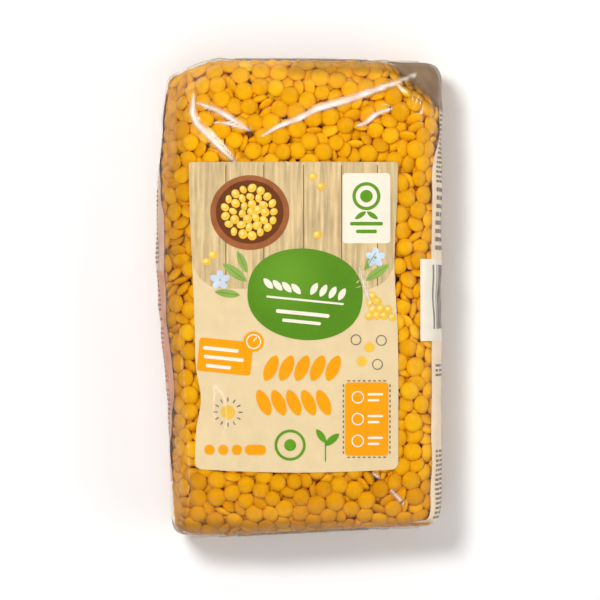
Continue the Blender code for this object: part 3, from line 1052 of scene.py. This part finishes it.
def end_fold(name, end, outline, lift, relief, across, upward):
    """A fold that lies on one end of the pack, between the outline's sides."""
    t = np.linspace(0.0, 1.0, upward + 1)
    s = np.linspace(0.0, 1.0, across + 1)
    left, right, height = outline(t)
    x = (left[:, None] + (right - left)[:, None] * s).ravel()
    z = np.repeat(height, across + 1) - HALF[2]
    base, out = end_skin(x, z, end)
    wide = np.repeat(right - left, across + 1)
    high = height[-1] - height[0]
    row = np.tile(s, upward + 1)
    rise = np.repeat(t, across + 1)
    edge = np.minimum(np.minimum(row, 1.0 - row) * wide, np.minimum(rise, 1.0 - rise) * high)
    height_off = np.broadcast_to(lift(row, rise), row.shape)
    raised = height_off + relief(x, z)
    outer = base + out * raised[:, None]
    inner = base + out * (raised - FOLD_THICK)[:, None]
    free = height_off / height_off.max()
    return fold_sheet(name, inner, outer, across, upward, edge, free)


def flap_outline(t):
    """The end flap: wide at the front edge, narrow at its foot."""
    half = (FLAP_NARROW + (FLAP_WIDE - FLAP_NARROW) * t) / 2
    return -half, half, FLAP_FOOT + (FLAP_TOP - FLAP_FOOT) * t


def seal_outline(t):
    """The pressed seal strip along the flap's foot."""
    half = np.full_like(t, FLAP_NARROW / 2 + 0.0015)
    return -half, half, FLAP_FOOT - 0.002 + SEAL_DEEP * t


def ear_outline(side):
    """A side ear tucked under the flap: a triangle with its tip toward the middle."""
    def outline(t):
        outer = np.full_like(t, side * (HALF[0] - EDGE_ACROSS))
        tip = outer - side * (0.004 + EAR_REACH * (1.0 - np.abs(2.0 * t - 1.0)))
        return np.minimum(outer, tip), np.maximum(outer, tip), EAR_FOOT + EAR_HIGH * t
    return outline


def fold_waves(x, z):
    """Shallow creases that fan out over a fold."""
    fan = np.arctan2(np.abs(x) - 0.036, z + 0.020)
    return 0.00006 * (np.sin(700 * x + 260 * z) + 1.5 * np.sin(16.0 * fan + 200.0 * np.abs(x)))


def seal_ribs(x, z):
    """Fine ribs pressed into the seal, along its length."""
    return SEAL_RIB * np.sin(math.tau * z / SEAL_RIB_PITCH)


for end, word in ((1, "top"), (-1, "bottom")):
    for side, hand in ((-1, "left"), (1, "right")):
        end_fold(
            f"{word}_{hand}_ear", end, ear_outline(side),
            lambda row, rise, side=side: EAR_LIFT * smooth(0.5 - side * (row - 0.5), 0.0, 0.25),
            fold_waves, 30, 30,
        )
    end_fold(
        f"{word}_flap", end, flap_outline,
        lambda row, rise: FLAP_LIFT * (1.0 - smooth(rise, 0.8, 1.0)), fold_waves, 60, 24,
    )
    end_fold(f"{word}_seal", end, seal_outline, lambda row, rise: SEAL_LIFT, seal_ribs, 66, 48)


# The back seam
# The lengthwise seam of the film tube: two layers pressed together with fine ribs and
# laid flat to one side along the middle of the back.

SEAM_WIDE = 0.0095
SEAM_LENGTH = 0.134
SEAM_UNDER = 0.00005
SEAM_RIB = 0.00007
SEAM_RIB_PITCH = 0.0012


def back_seam():
    """The pressed seam strip on the back."""
    across = 12
    along = 420
    s = np.tile(np.linspace(-0.5, 0.5, across + 1), along + 1)
    y = np.repeat(np.linspace(-0.5, 0.5, along + 1), across + 1) * SEAM_LENGTH
    x = SEAM_X + s * SEAM_WIDE + 0.0004 * np.sin(70 * y)
    ribs = SEAM_RIB * np.sin(math.tau * y / SEAM_RIB_PITCH) * (np.abs(s) < 0.45)
    low = np.stack((x, y, SEAM_UNDER + SEAM_RIB + ribs), axis=1)
    edge = np.minimum((0.5 - np.abs(s)) * SEAM_WIDE, SEAM_LENGTH / 2 - np.abs(y))
    return fold_sheet("back_seam", low + (0.0, 0.0, FOLD_THICK), low, across, along, edge)


back_seam()


# The print
# Opaque inks on the inside of the film: a front panel with boards above and cream
# below, plain badges and bars, side panels with rows of marks, and a plain back panel.

INK_STEP = 0.0010
INK_LAYER = 0.00006
INK_BASE = 0.00030
EDGE_HEIGHT = 0.0413


def beside(y, z):
    """Height on a side panel, kept in step with the height of the front's edge."""
    return z * float(front_height(np.array(0.97), np.array(y / HALF[1]))) / EDGE_HEIGHT


FACE_RAYS = {
    "front": (lambda a, b: (a, b, 0.1), (0.0, 0.0, -1.0)),
    "back": (lambda a, b: (a, b, -0.05), (0.0, 0.0, 1.0)),
    "right": (lambda a, b: (0.1, a, beside(a, b)), (-1.0, 0.0, 0.0)),
    "left": (lambda a, b: (-0.1, a, beside(a, b)), (1.0, 0.0, 0.0)),
}


def ink_material(name, colour, mottle=0.06, boards=False, glow=None):
    """Printed ink: one colour with a faint uneven lay, grained boards, or a lighter middle."""
    material = bpy.data.materials.new(name)
    material.use_nodes = True
    nodes = material.node_tree.nodes
    links = material.node_tree.links
    shader = nodes["Principled BSDF"]
    shader.inputs["Roughness"].default_value = 0.55
    shader.inputs["Specular IOR Level"].default_value = 0.25
    where = nodes.new("ShaderNodeTexCoord")
    lay = nodes.new("ShaderNodeTexNoise")
    lay.inputs["Scale"].default_value = 260.0
    lay.inputs["Detail"].default_value = 3.0
    links.new(where.outputs["Object"], lay.inputs["Vector"])
    ramp = nodes.new("ShaderNodeValToRGB")
    low, high = ramp.color_ramp.elements
    low.position = 0.3
    high.position = 0.7
    low.color = (*(c * (1.0 - mottle) for c in colour), 1.0)
    high.color = (*(min(c * (1.0 + mottle), 1.0) for c in colour), 1.0)
    links.new(lay.outputs["Fac"], ramp.inputs["Fac"])
    tone = ramp.outputs["Color"]
    if boards:
        stretch = nodes.new("ShaderNodeMapping")
        stretch.inputs["Scale"].default_value = (900.0, 60.0, 60.0)
        links.new(where.outputs["Object"], stretch.inputs["Vector"])
        grain = nodes.new("ShaderNodeTexNoise")
        grain.inputs["Scale"].default_value = 1.0
        grain.inputs["Detail"].default_value = 6.0
        links.new(stretch.outputs[0], grain.inputs["Vector"])
        dark = nodes.new("ShaderNodeMapRange")
        dark.inputs["From Min"].default_value = 0.35
        dark.inputs["From Max"].default_value = 0.65
        dark.inputs["To Min"].default_value = 0.72
        dark.inputs["To Max"].default_value = 1.12
        links.new(grain.outputs["Fac"], dark.inputs["Value"])
        mixed = nodes.new("ShaderNodeMix")
        mixed.data_type = "RGBA"
        mixed.blend_type = "MULTIPLY"
        mixed.inputs["Factor"].default_value = 1.0
        links.new(tone, mixed.inputs["A"])
        links.new(dark.outputs["Result"], mixed.inputs["B"])
        tone = mixed.outputs["Result"]
    if glow:
        middle, reach, light = glow
        centred = nodes.new("ShaderNodeVectorMath")
        centred.operation = "SUBTRACT"
        centred.inputs[1].default_value = (middle[0], middle[1], THICKNESS)
        links.new(where.outputs["Object"], centred.inputs[0])
        far = nodes.new("ShaderNodeVectorMath")
        far.operation = "LENGTH"
        links.new(centred.outputs[0], far.inputs[0])
        fade = nodes.new("ShaderNodeMapRange")
        fade.interpolation_type = "SMOOTHSTEP"
        fade.inputs["From Min"].default_value = 0.0
        fade.inputs["From Max"].default_value = reach
        fade.inputs["To Min"].default_value = 1.0
        fade.inputs["To Max"].default_value = 0.0
        links.new(far.outputs["Value"], fade.inputs["Value"])
        mixed = nodes.new("ShaderNodeMix")
        mixed.data_type = "RGBA"
        links.new(fade.outputs["Result"], mixed.inputs["Factor"])
        links.new(tone, mixed.inputs["A"])
        mixed.inputs["B"].default_value = (*light, 1.0)
        tone = mixed.outputs["Result"]
    links.new(tone, shader.inputs["Base Color"])
    return material


def levels(low, high, round_low, round_high, step=INK_STEP):
    """Heights of a shape's rows, closer together over its round corners."""
    arc = 1.0 - np.cos(np.radians(np.linspace(8.0, 90.0, 5)))
    start = low + round_low * arc
    stop = high - round_high * arc[::-1]
    count = max(int(math.ceil((stop[0] - start[-1]) / step)), 1)
    return np.unique(np.concatenate((start, np.linspace(start[-1], stop[0], count + 1), stop)))


class Inks:
    """Gathers printed shapes of one colour on one face of the pack into one piece."""

    def __init__(self, name, face, layer, material):
        self.name = name
        self.face = face
        self.depth = INK_BASE - INK_LAYER * layer
        self.material = material
        self.points = []
        self.faces = []

    def rows(self, heights, span, centre=(0.0, 0.0), turn=0.0, step=INK_STEP):
        """A shape given by its left and right at each height, in metres."""
        count = len(heights) - 1
        spans = [span(h) for h in heights]
        wide = max(right - left for left, right in spans)
        columns = max(int(math.ceil(wide / step)), 1)
        start = len(self.points)
        cosine, sine = math.cos(turn), math.sin(turn)
        for height, (left, right) in zip(heights, spans):
            for i in range(columns + 1):
                a = left + (right - left) * i / columns
                self.points.append((
                    centre[0] + a * cosine - height * sine,
                    centre[1] + a * sine + height * cosine,
                ))
        for j in range(count):
            for i in range(columns):
                first = start + j * (columns + 1) + i
                self.faces.append((first, first + 1, first + columns + 2, first + columns + 1))

    def pill(self, width, height, radius, centre, turn=0.0, step=INK_STEP):
        """A rectangle with round corners."""
        def span(h):
            over = max(abs(h) - (height / 2 - radius), 0.0)
            half = width / 2 - radius + math.sqrt(max(radius ** 2 - over ** 2, 0.0))
            return -half, half
        self.rows(levels(-height / 2, height / 2, radius, radius, step), span, centre, turn, step)

    def oval(self, width, height, centre, turn=0.0, pointed=1.0):
        """An ellipse, or a leaf when pointed is more than 1."""
        sides = max(int(14 + width * 2500), 16)
        rings = max(int(width / 2 / INK_STEP), 1)
        start = len(self.points)
        cosine, sine = math.cos(turn), math.sin(turn)
        spots = [(0.0, 0.0)]
        for ring in range(1, rings + 1):
            for side in range(sides):
                angle = math.tau * side / sides
                a = math.cos(angle) * width / 2 * ring / rings
                b = math.sin(angle)
                b = math.copysign(abs(b) ** pointed, b) * height / 2 * ring / rings
                spots.append((a, b))
        for a, b in spots:
            self.points.append((
                centre[0] + a * cosine - b * sine, centre[1] + a * sine + b * cosine
            ))
        for side in range(sides):
            after = (side + 1) % sides
            self.faces.append((start, start + 1 + side, start + 1 + after))
            for ring in range(rings - 1):
                inner = start + 1 + ring * sides
                outer = inner + sides
                self.faces.append((inner + side, outer + side, outer + after, inner + after))

    def ring(self, radius, width, centre, sides=28):
        """A thin ring."""
        start = len(self.points)
        for far in (radius - width, radius):
            for side in range(sides):
                angle = math.tau * side / sides
                self.points.append((
                    centre[0] + far * math.cos(angle), centre[1] + far * math.sin(angle)
                ))
        for side in range(sides):
            after = (side + 1) % sides
            self.faces.append(
                (start + side, start + sides + side, start + sides + after, start + after)
            )

    def finish(self):
        """Lay the shapes on the inside of the film."""
        place, aim = FACE_RAYS[self.face]
        aim = Vector(aim)
        laid = []
        for a, b in self.points:
            hit = film_tree.ray_cast(Vector(place(a, b)), aim)[0]
            laid.append(hit + aim * self.depth)
        piece = new_piece(self.name, laid, self.faces, self.material)
        normal = sum((p.normal for p in piece.data.polygons), Vector())
        if normal.dot(aim) > 0:
            piece.data.flip_normals()
        return piece


def front_left(y):
    """The front panel's left edge, drawn in at the dent."""
    pulled = 0.0019 * math.exp(-((y + 0.034) / 0.008) ** 2)
    return -0.0369 + 0.0021 * float(smooth(-y, -0.045, 0.020)) + pulled


def front_right(y):
    """The front panel's right edge."""
    return 0.0332 - 0.0013 * math.exp(-((y - 0.012) / 0.018) ** 2)


def panel_span(low, high, radius_low, radius_high, left, right):
    """Left and right of a panel with round corners between low and high."""
    def span(y):
        from_low = max(radius_low - (y - low), 0.0)
        from_high = max(radius_high - (high - y), 0.0)
        cut = radius_low - math.sqrt(max(radius_low ** 2 - from_low ** 2, 0.0))
        cut += radius_high - math.sqrt(max(radius_high ** 2 - from_high ** 2, 0.0))
        return left(y) + cut, right(y) - cut
    return span


cream = ink_material("ink_cream", (0.83, 0.655, 0.385), 0.035)
boards = ink_material("ink_boards", (0.74, 0.555, 0.295), 0.05, boards=True)
board_gap = ink_material("ink_board_gap", (0.30, 0.16, 0.07))
bowl_brown = ink_material("ink_bowl", (0.36, 0.12, 0.04), 0.15)
bowl_dark = ink_material("ink_bowl_dark", (0.16, 0.045, 0.012), 0.1)
seed_yellow = ink_material("ink_seed", (0.93, 0.56, 0.06), 0.10)
seed_pale = ink_material("ink_seed_pale", (1.0, 0.76, 0.22), 0.06)
leaf_green = ink_material("ink_green", (0.12, 0.33, 0.016), 0.10)
leaf_light = ink_material("ink_green_light", (0.30, 0.45, 0.10), 0.12)
orange = ink_material("ink_orange", (0.955, 0.373, 0.002), 0.03)
pale = ink_material("ink_pale", (0.93, 0.86, 0.72), 0.03)
petal = ink_material("ink_petal", (0.62, 0.72, 0.86), 0.12)
grey = ink_material("ink_grey", (0.20, 0.16, 0.14), 0.10)
side_cream = ink_material("ink_side_cream", (0.97, 0.78, 0.54), 0.03)
side_rose = ink_material("ink_side_rose", (0.86, 0.41, 0.27), 0.12)

PANEL_LOW = -0.0572
PANEL_HIGH = 0.0455
BOARD_LOW = 0.0030
PANEL_SAG = 0.0012
PANEL_ROUND = 0.0022
BOARD_ROUND = 0.0100
TOP_ROUND = 0.0010

panel = Inks("print_front_cream", "front", 0, cream)
panel.rows(
    levels(PANEL_LOW, PANEL_HIGH, PANEL_ROUND, TOP_ROUND),
    panel_span(PANEL_LOW, PANEL_HIGH, PANEL_ROUND, TOP_ROUND, front_left, front_right),
)
panel.points = [
    (a, b - PANEL_SAG * (1.0 - (a / 0.036) ** 2) * float(smooth(-b, 0.045, -PANEL_LOW)))
    for a, b in panel.points
]
panel.finish()

wood = Inks("print_boards", "front", 1, boards)
wood.rows(
    levels(BOARD_LOW, PANEL_HIGH, BOARD_ROUND, TOP_ROUND),
    panel_span(BOARD_LOW, PANEL_HIGH, BOARD_ROUND, TOP_ROUND, front_left, front_right),
)
wood.finish()

seams = Inks("print_board_gaps", "front", 2, board_gap)
for gap_x in (-0.0245, -0.0118, 0.0015, 0.0142, 0.0262):
    seams.pill(0.00035, PANEL_HIGH - BOARD_LOW - 0.0022, 0.0, (gap_x, (PANEL_HIGH + BOARD_LOW) / 2))
seams.finish()

bowl = Inks("print_bowl", "front", 3, bowl_brown)
bowl.oval(0.0265, 0.0250, (-0.0165, 0.0285))
bowl.finish()
hollow = Inks("print_bowl_inside", "front", 3.6, bowl_dark)
hollow.oval(0.0226, 0.0212, (-0.0165, 0.0287))
hollow.finish()
seeds = Inks("print_seeds", "front", 4.2, seed_yellow)
bright_seeds = Inks("print_seeds_bright", "front", 4.7, seed_pale)
seed_rng = np.random.default_rng(3)
for ring_radius, many in ((0.0, 1), (0.0026, 6), (0.0052, 12), (0.0078, 17)):
    for index in range(many):
        angle = math.tau * index / many + ring_radius * 900
        far = ring_radius + seed_rng.normal(0.0, 0.0002)
        centre = (-0.0165 + far * math.cos(angle) * 1.05, 0.0288 + far * math.sin(angle))
        wide = seed_rng.uniform(0.0027, 0.0033)
        turn = seed_rng.uniform(0.0, math.pi)
        seeds.oval(wide, wide * seed_rng.uniform(0.7, 1.0), centre, turn)
        bright_seeds.oval(wide * 0.5, wide * 0.42, (centre[0] - 0.0003, centre[1] + 0.0004), turn)
loose = [(0.0045, 0.0400), (0.0075, 0.0375), (0.0060, 0.0210), (-0.0310, 0.0120), (-0.0285, 0.0145)]
for row in range(4):
    first_x = 0.0236 + 0.0011 * (row % 2)
    loose += [(first_x + 0.0024 * i, -0.0060 + 0.0022 * row) for i in range(4 - row)]
for centre in loose:
    spot = np.array(centre) + seed_rng.normal(0.0, 0.0002, 2)
    seeds.oval(0.0029, 0.0025, tuple(spot), seed_rng.uniform(0.0, math.pi))
    bright_seeds.oval(0.0015, 0.0012, (spot[0] - 0.0003, spot[1] + 0.0003), 0.4)
seeds.finish()
bright_seeds.finish()

tag = Inks("print_tag", "front", 3, pale)
tag.pill(0.0160, 0.0235, 0.0012, (0.0225, 0.0300))
tag.finish()
tag_marks = Inks("print_tag_marks", "front", 4, leaf_green)
tag_marks.ring(0.0047, 0.0011, (0.0225, 0.0340))
tag_marks.oval(0.0042, 0.0042, (0.0225, 0.0340))
tag_marks.pill(0.0110, 0.0012, 0.0005, (0.0225, 0.0248))
tag_marks.pill(0.0070, 0.0012, 0.0005, (0.0225, 0.0222))
tag_marks.oval(0.0044, 0.0016, (0.0205, 0.0276), 0.6, 1.5)
tag_marks.oval(0.0044, 0.0016, (0.0245, 0.0276), -0.6, 1.5)
tag_marks.finish()

badge_green = ink_material(
    "ink_badge", (0.10, 0.27, 0.012), 0.04, glow=((-0.0040, 0.0075), 0.0170, (0.150, 0.350, 0.025))
)
badge = Inks("print_badge", "front", 3, badge_green)
badge.oval(0.0385, 0.0305, (0.0020, 0.0012), -0.10, 0.86)
badge.finish()
sprig = Inks("print_sprig", "front", 4.4, pale)
for side in (-1, 1):
    for index in range(4):
        place = (0.0020 + side * (0.0030 + 0.0031 * index), 0.0030 - 0.0006 * index * side)
        sprig.oval(0.0046, 0.0021, place, side * 0.95 + 0.1, 1.5)
sprig.pill(0.0260, 0.0007, 0.0003, (0.0020, -0.0008), -0.10)
sprig.pill(0.0180, 0.0013, 0.0006, (0.0012, -0.0052), -0.10)
sprig.pill(0.0130, 0.0011, 0.0005, (0.0008, -0.0080), -0.10)
sprig.finish()
leaves = Inks("print_leaves", "front", 2.5, leaf_light)
leaf_veins = Inks("print_leaf_veins", "front", 2.9, leaf_green)
for centre, turn, long in (
    ((-0.0215, 0.0085), 2.5, 0.0100),
    ((-0.0240, 0.0015), 3.0, 0.0085),
    ((-0.0190, 0.0120), 2.0, 0.0080),
    ((0.0262, 0.0085), 0.6, 0.0095),
    ((0.0240, 0.0125), 1.0, 0.0080),
):
    leaves.oval(long, long * 0.32, centre, turn, 1.5)
    leaf_veins.pill(long * 0.8, 0.00022, 0.0, centre, turn)
leaves.finish()
leaf_veins.finish()
flowers = Inks("print_flowers", "front", 2.8, petal)
for centre in ((-0.0265, 0.0060), (0.0255, 0.0135)):
    for index in range(5):
        angle = math.tau * index / 5 + 0.3
        spot = (centre[0] + 0.0019 * math.cos(angle), centre[1] + 0.0019 * math.sin(angle))
        flowers.oval(0.0030, 0.0022, spot, angle)
flowers.finish()


accents = Inks("print_orange", "front", 2, orange)
for index in range(5):
    accents.oval(0.0092, 0.0042, (0.0010 + 0.0052 * (index - 2), -0.0235), 1.15, 1.2)
for index in range(5):
    accents.oval(0.0092, 0.0042, (-0.0018 + 0.0050 * (index - 2), -0.0350), -1.15, 1.2)
accents.pill(0.0180, 0.0112, 0.0010, (-0.0248, -0.0196), -0.10)
accents.pill(0.0145, 0.0245, 0.0012, (0.0226, -0.0405))
for index in range(3):
    accents.pill(0.0034, 0.0034, 0.0016, (-0.0300 + 0.0046 * index, -0.0508))
accents.pill(0.0070, 0.0034, 0.0016, (-0.0146, -0.0508))
accents.finish()
button = Inks("print_button", "front", 3, orange)
button.oval(0.0068, 0.0068, (-0.0152, -0.0146))
button.finish()
notes = Inks("print_pale_marks", "front", 4, pale)
notes.ring(0.0025, 0.0004, (-0.0152, -0.0146))
notes.pill(0.0016, 0.0004, 0.0, (-0.0147, -0.0138), 0.9)
notes.pill(0.0120, 0.0012, 0.0005, (-0.0262, -0.0172), -0.10)
notes.pill(0.0135, 0.0012, 0.0005, (-0.0252, -0.0202), -0.10)
notes.pill(0.0085, 0.0012, 0.0005, (-0.0270, -0.0230), -0.10)
for index in range(3):
    icon_y = -0.0332 - 0.0073 * index
    notes.ring(0.0021, 0.0004, (0.0196, icon_y))
    notes.pill(0.0052, 0.0008, 0.0004, (0.0255, icon_y + 0.0010))
    notes.pill(0.0040, 0.0008, 0.0004, (0.0249, icon_y - 0.0010))
notes.finish()
dashes = Inks("print_dashes", "front", 2.6, grey)
for index in range(14):
    shift = (index - 6.5) * 0.00172
    for side in (-1, 1):
        dashes.pill(0.0004, 0.0009, 0.0, (0.0226 + side * 0.0078, -0.0405 + shift))
        if abs(shift) < 0.0074:
            dashes.pill(0.0009, 0.0004, 0.0, (0.0226 + shift, -0.0405 + side * 0.0128))
SUN_AT = (-0.0238, -0.0382)
for index in range(12):
    angle = math.tau * index / 12
    spot = (SUN_AT[0] + 0.0042 * math.cos(angle), SUN_AT[1] + 0.0042 * math.sin(angle))
    dashes.pill(0.0013, 0.0004, 0.0, spot, angle)
dashes.finish()
rings = Inks("print_small_rings", "front", 3, grey)
dots = Inks("print_small_dots", "front", 3, seed_yellow)
for index, (dot_x, dot_y) in enumerate((
    (0.0190, -0.0140), (0.0235, -0.0165), (0.0275, -0.0142), (0.0210, -0.0212), (0.0262, -0.0222)
)):
    if index % 2:
        dots.oval(0.0034, 0.0034, (dot_x, dot_y))
    else:
        rings.ring(0.0018, 0.0003, (dot_x, dot_y))
rings.finish()
dots.oval(0.0046, 0.0046, SUN_AT)
dots.finish()
seal = Inks("print_seal", "front", 2, leaf_green)
seal.ring(0.0052, 0.0009, (-0.0030, -0.0492), 32)
seal.oval(0.0040, 0.0040, (-0.0030, -0.0492))
seal.oval(0.0062, 0.0024, (0.0110, -0.0474), 0.7, 1.5)
seal.oval(0.0056, 0.0022, (0.0074, -0.0462), 2.2, 1.5)
seal.pill(0.0004, 0.0066, 0.0, (0.0088, -0.0514))
seal.finish()


# The side and back panels
# Printed with the same inks: cream with rows of small marks and a block of bars on the
# right side, pink with a rose field on the left side, and a plain back.

SIDE_LOW = -0.0755
LEFT_LOW = -0.0620
SIDE_HIGH = 0.0695
SIDE_FOOT = 0.0075
RIGHT_HEAD = 0.0386
LEFT_HEAD = 0.0378


def right_head(y):
    """The right panel's upper edge: it drops toward the pack's top."""
    return RIGHT_HEAD - 0.0105 * float(smooth(y, 0.040, 0.068))


def left_head(y):
    """The left panel's upper edge: it drops toward both ends."""
    toward_top = 0.0125 * float(smooth(y, 0.026, 0.050))
    toward_bottom = 0.0110 * float(smooth(-y, 0.030, 0.056))
    return LEFT_HEAD - toward_top - toward_bottom


def side_field(name, face, low, high, head, material, layer=0):
    """A printed field on one side of the pack, under its curved upper edge."""
    field = Inks(name, face, layer, material)
    heights = levels(-high, -low, 0.0, 0.0)
    field.rows(heights, lambda h: (SIDE_FOOT, head(-h)), turn=math.pi / 2)
    field.finish()


side_pink = ink_material("ink_side_pink", (0.84, 0.58, 0.45), 0.08)
side_field("print_right_cream", "right", SIDE_LOW, SIDE_HIGH, right_head, side_cream)
side_field("print_left_cream", "left", LEFT_LOW, SIDE_HIGH, left_head, side_pink)
side_field("print_left_rose", "left", LEFT_LOW, 0.0090, lambda y: left_head(y) - 0.0004, side_rose, 1)
block = Inks("print_right_white", "right", 1, pale)
block.pill(0.0275, 0.0300, 0.0, (-0.0007, 0.0245))
block.finish()
wrap = Inks("print_corner_white", "front", 1, pale)
wrap.pill(0.0048, 0.0275, 0.0, (0.0430, -0.0007))
wrap.finish()
back_cream = Inks("print_back_cream", "back", 0, cream)
back_cream.pill(0.0680, 0.1030, 0.0012, (0.0, -0.0055))
back_cream.finish()
back_band = Inks("print_back_band", "back", 1, leaf_green)
back_band.pill(0.0680, 0.0110, 0.0010, (0.0, 0.0405))
back_band.pill(0.0260, 0.0070, 0.0030, (-0.0195, -0.0500))
back_band.finish()
back_pale = Inks("print_back_pale", "back", 1, pale)
back_pale.pill(0.0215, 0.0470, 0.0008, (0.0215, -0.0080))
back_pale.finish()
mark_rng = np.random.default_rng(12)
for face in ("right", "left"):
    marks = Inks(f"print_{face}_marks", face, 2, grey)
    head_at = right_head if face == "right" else left_head
    below_head = 0.0022 if face == "right" else 0.0060
    row = SIDE_HIGH - 0.003
    while row > (SIDE_LOW if face == "right" else LEFT_LOW) + 0.003:
        big = face == "right" and 0.016 < row < 0.040
        row -= 0.0028 if big else 0.0016
        plain = face == "right" and (-0.0500 < row < 0.0150 and not -0.0270 < row < -0.0200)
        if plain or mark_rng.random() < 0.06:
            continue
        head = head_at(row) - below_head
        while head > SIDE_FOOT + 0.004:
            long = mark_rng.uniform(0.0015, 0.0050)
            if head - long < SIDE_FOOT + 0.001:
                break
            marks.pill(0.0014 if big else 0.0008, long, 0.0, (row, head - long / 2), 0.0, 0.0015)
            head -= long + mark_rng.uniform(0.0006, 0.0011)
    marks.finish()
bars = Inks("print_right_bars", "right", 2.5, grey)
bar_z = 0.0380
while bar_z > 0.0125:
    high = mark_rng.choice((0.0004, 0.0007, 0.0011))
    bars.pill(0.0215, high, 0.0, (0.0004, bar_z))
    bar_z -= high + mark_rng.choice((0.0006, 0.0010))
bars.finish()
back_marks = Inks("print_back_marks", "back", 2, grey)
for index in range(30):
    row = 0.0300 - 0.0024 * index
    start = -0.0305
    while start < -0.0070 and row > -0.0445:
        long = mark_rng.uniform(0.0020, 0.0060)
        long = min(long, -0.0060 - start)
        back_marks.pill(long, 0.0008, 0.0, (start + long / 2, row))
        start += long + 0.0009
for index in range(10):
    row = 0.0130 - 0.0046 * index
    back_marks.pill(0.0205, 0.0002, 0.0, (0.0215, row - 0.0021))
    if row > -0.0300:
        back_marks.pill(0.0080, 0.0008, 0.0, (0.0160, row))
        back_marks.pill(0.0035, 0.0008, 0.0, (0.0285, row))
back_marks.finish()


# The table, the lamps and the camera
# A white table. A soft lamp at the upper left throws the shadow, two big weak ones light
# the rest, and two strips show only as glints in the film.

TABLE_SIZE = 6.0
PIXEL = 0.0003385
FRAME_PIXELS = 600
CAMERA_HEIGHT = 1.7
WORLD_STRENGTH = 0.38
WIDEST_HEIGHT = 0.023
VIEW_CENTRE = (0.0003, -0.0007)


def table_material():
    """Plain white matt card."""
    material = bpy.data.materials.new("white_card")
    material.use_nodes = True
    shader = material.node_tree.nodes["Principled BSDF"]
    shader.inputs["Base Color"].default_value = (0.92, 0.92, 0.92, 1.0)
    shader.inputs["Roughness"].default_value = 0.9
    shader.inputs["Specular IOR Level"].default_value = 0.1
    return material


def table():
    """The table top that the pack lies on."""
    mesh = bpy.data.meshes.new("table")
    half = TABLE_SIZE / 2
    corners = [(-half, -half, 0.0), (half, -half, 0.0), (half, half, 0.0), (-half, half, 0.0)]
    mesh.from_pydata(corners, [], [(0, 1, 2, 3)])
    mesh.materials.append(table_material())
    top = bpy.data.objects.new("table", mesh)
    bpy.context.scene.collection.objects.link(top)


def soft_lamp(name, bearing, steepness, far, width, height, radiance, mirrored=True):
    """A soft lamp aimed at the pack; a mirrored one lights nothing and shows only as a glint."""
    data = bpy.data.lights.new(name, "AREA")
    data.shape = "RECTANGLE"
    data.size = width
    data.size_y = height
    data.energy = radiance * math.pi * width * height
    lamp = bpy.data.objects.new(name, data)
    lean = math.radians(steepness)
    turn = math.radians(bearing)
    lamp.location = (
        far * math.sin(lean) * math.cos(turn), far * math.sin(lean) * math.sin(turn), far * math.cos(lean)
    )
    lamp.rotation_euler = (0.0, lean, turn)
    lamp.visible_camera = False
    lamp.visible_glossy = mirrored
    lamp.visible_diffuse = not mirrored
    bpy.context.scene.collection.objects.link(lamp)


def set_world():
    """Pale light from all round, dimmer straight overhead."""
    world = bpy.data.worlds.new("studio")
    world.use_nodes = True
    nodes = world.node_tree.nodes
    links = world.node_tree.links
    aim = nodes.new("ShaderNodeTexCoord")
    parts = nodes.new("ShaderNodeSeparateXYZ")
    links.new(aim.outputs["Generated"], parts.inputs[0])
    ramp = nodes.new("ShaderNodeValToRGB")
    ramp.color_ramp.elements[0].position = 0.78
    ramp.color_ramp.elements[0].color = (1.0, 1.0, 1.0, 1.0)
    ramp.color_ramp.elements[1].position = 0.93
    ramp.color_ramp.elements[1].color = (0.06, 0.06, 0.06, 1.0)
    links.new(parts.outputs["Z"], ramp.inputs["Fac"])
    back = nodes["Background"]
    back.inputs["Strength"].default_value = WORLD_STRENGTH
    links.new(ramp.outputs["Color"], back.inputs["Color"])
    bpy.context.scene.world = world


def set_camera():
    """Straight down on the printed front, as in the photo."""
    data = bpy.data.cameras.new("camera")
    data.sensor_width = 36.0
    distance = CAMERA_HEIGHT - WIDEST_HEIGHT
    data.lens = data.sensor_width * distance / (FRAME_PIXELS * PIXEL)
    data.clip_end = 20.0
    camera = bpy.data.objects.new("camera", data)
    camera.location = (*VIEW_CENTRE, CAMERA_HEIGHT)
    bpy.context.scene.collection.objects.link(camera)
    bpy.context.scene.camera = camera


table()
soft_lamp("key", 133.0, 22.0, 1.1, 0.22, 0.22, 50.0, mirrored=False)
soft_lamp("overhead", 270.0, 18.0, 2.4, 1.4, 1.4, 2.0, mirrored=False)
soft_lamp("fill", 350.0, 50.0, 2.0, 1.2, 1.2, 1.9, mirrored=False)
soft_lamp("strip_right", 46.0, 46.0, 1.1, 0.18, 0.50, 13.0)
soft_lamp("strip_left", 200.0, 48.0, 1.1, 0.08, 0.50, 4.0)
set_world()
set_camera()
bpy.context.scene.view_settings.view_transform = "Standard"
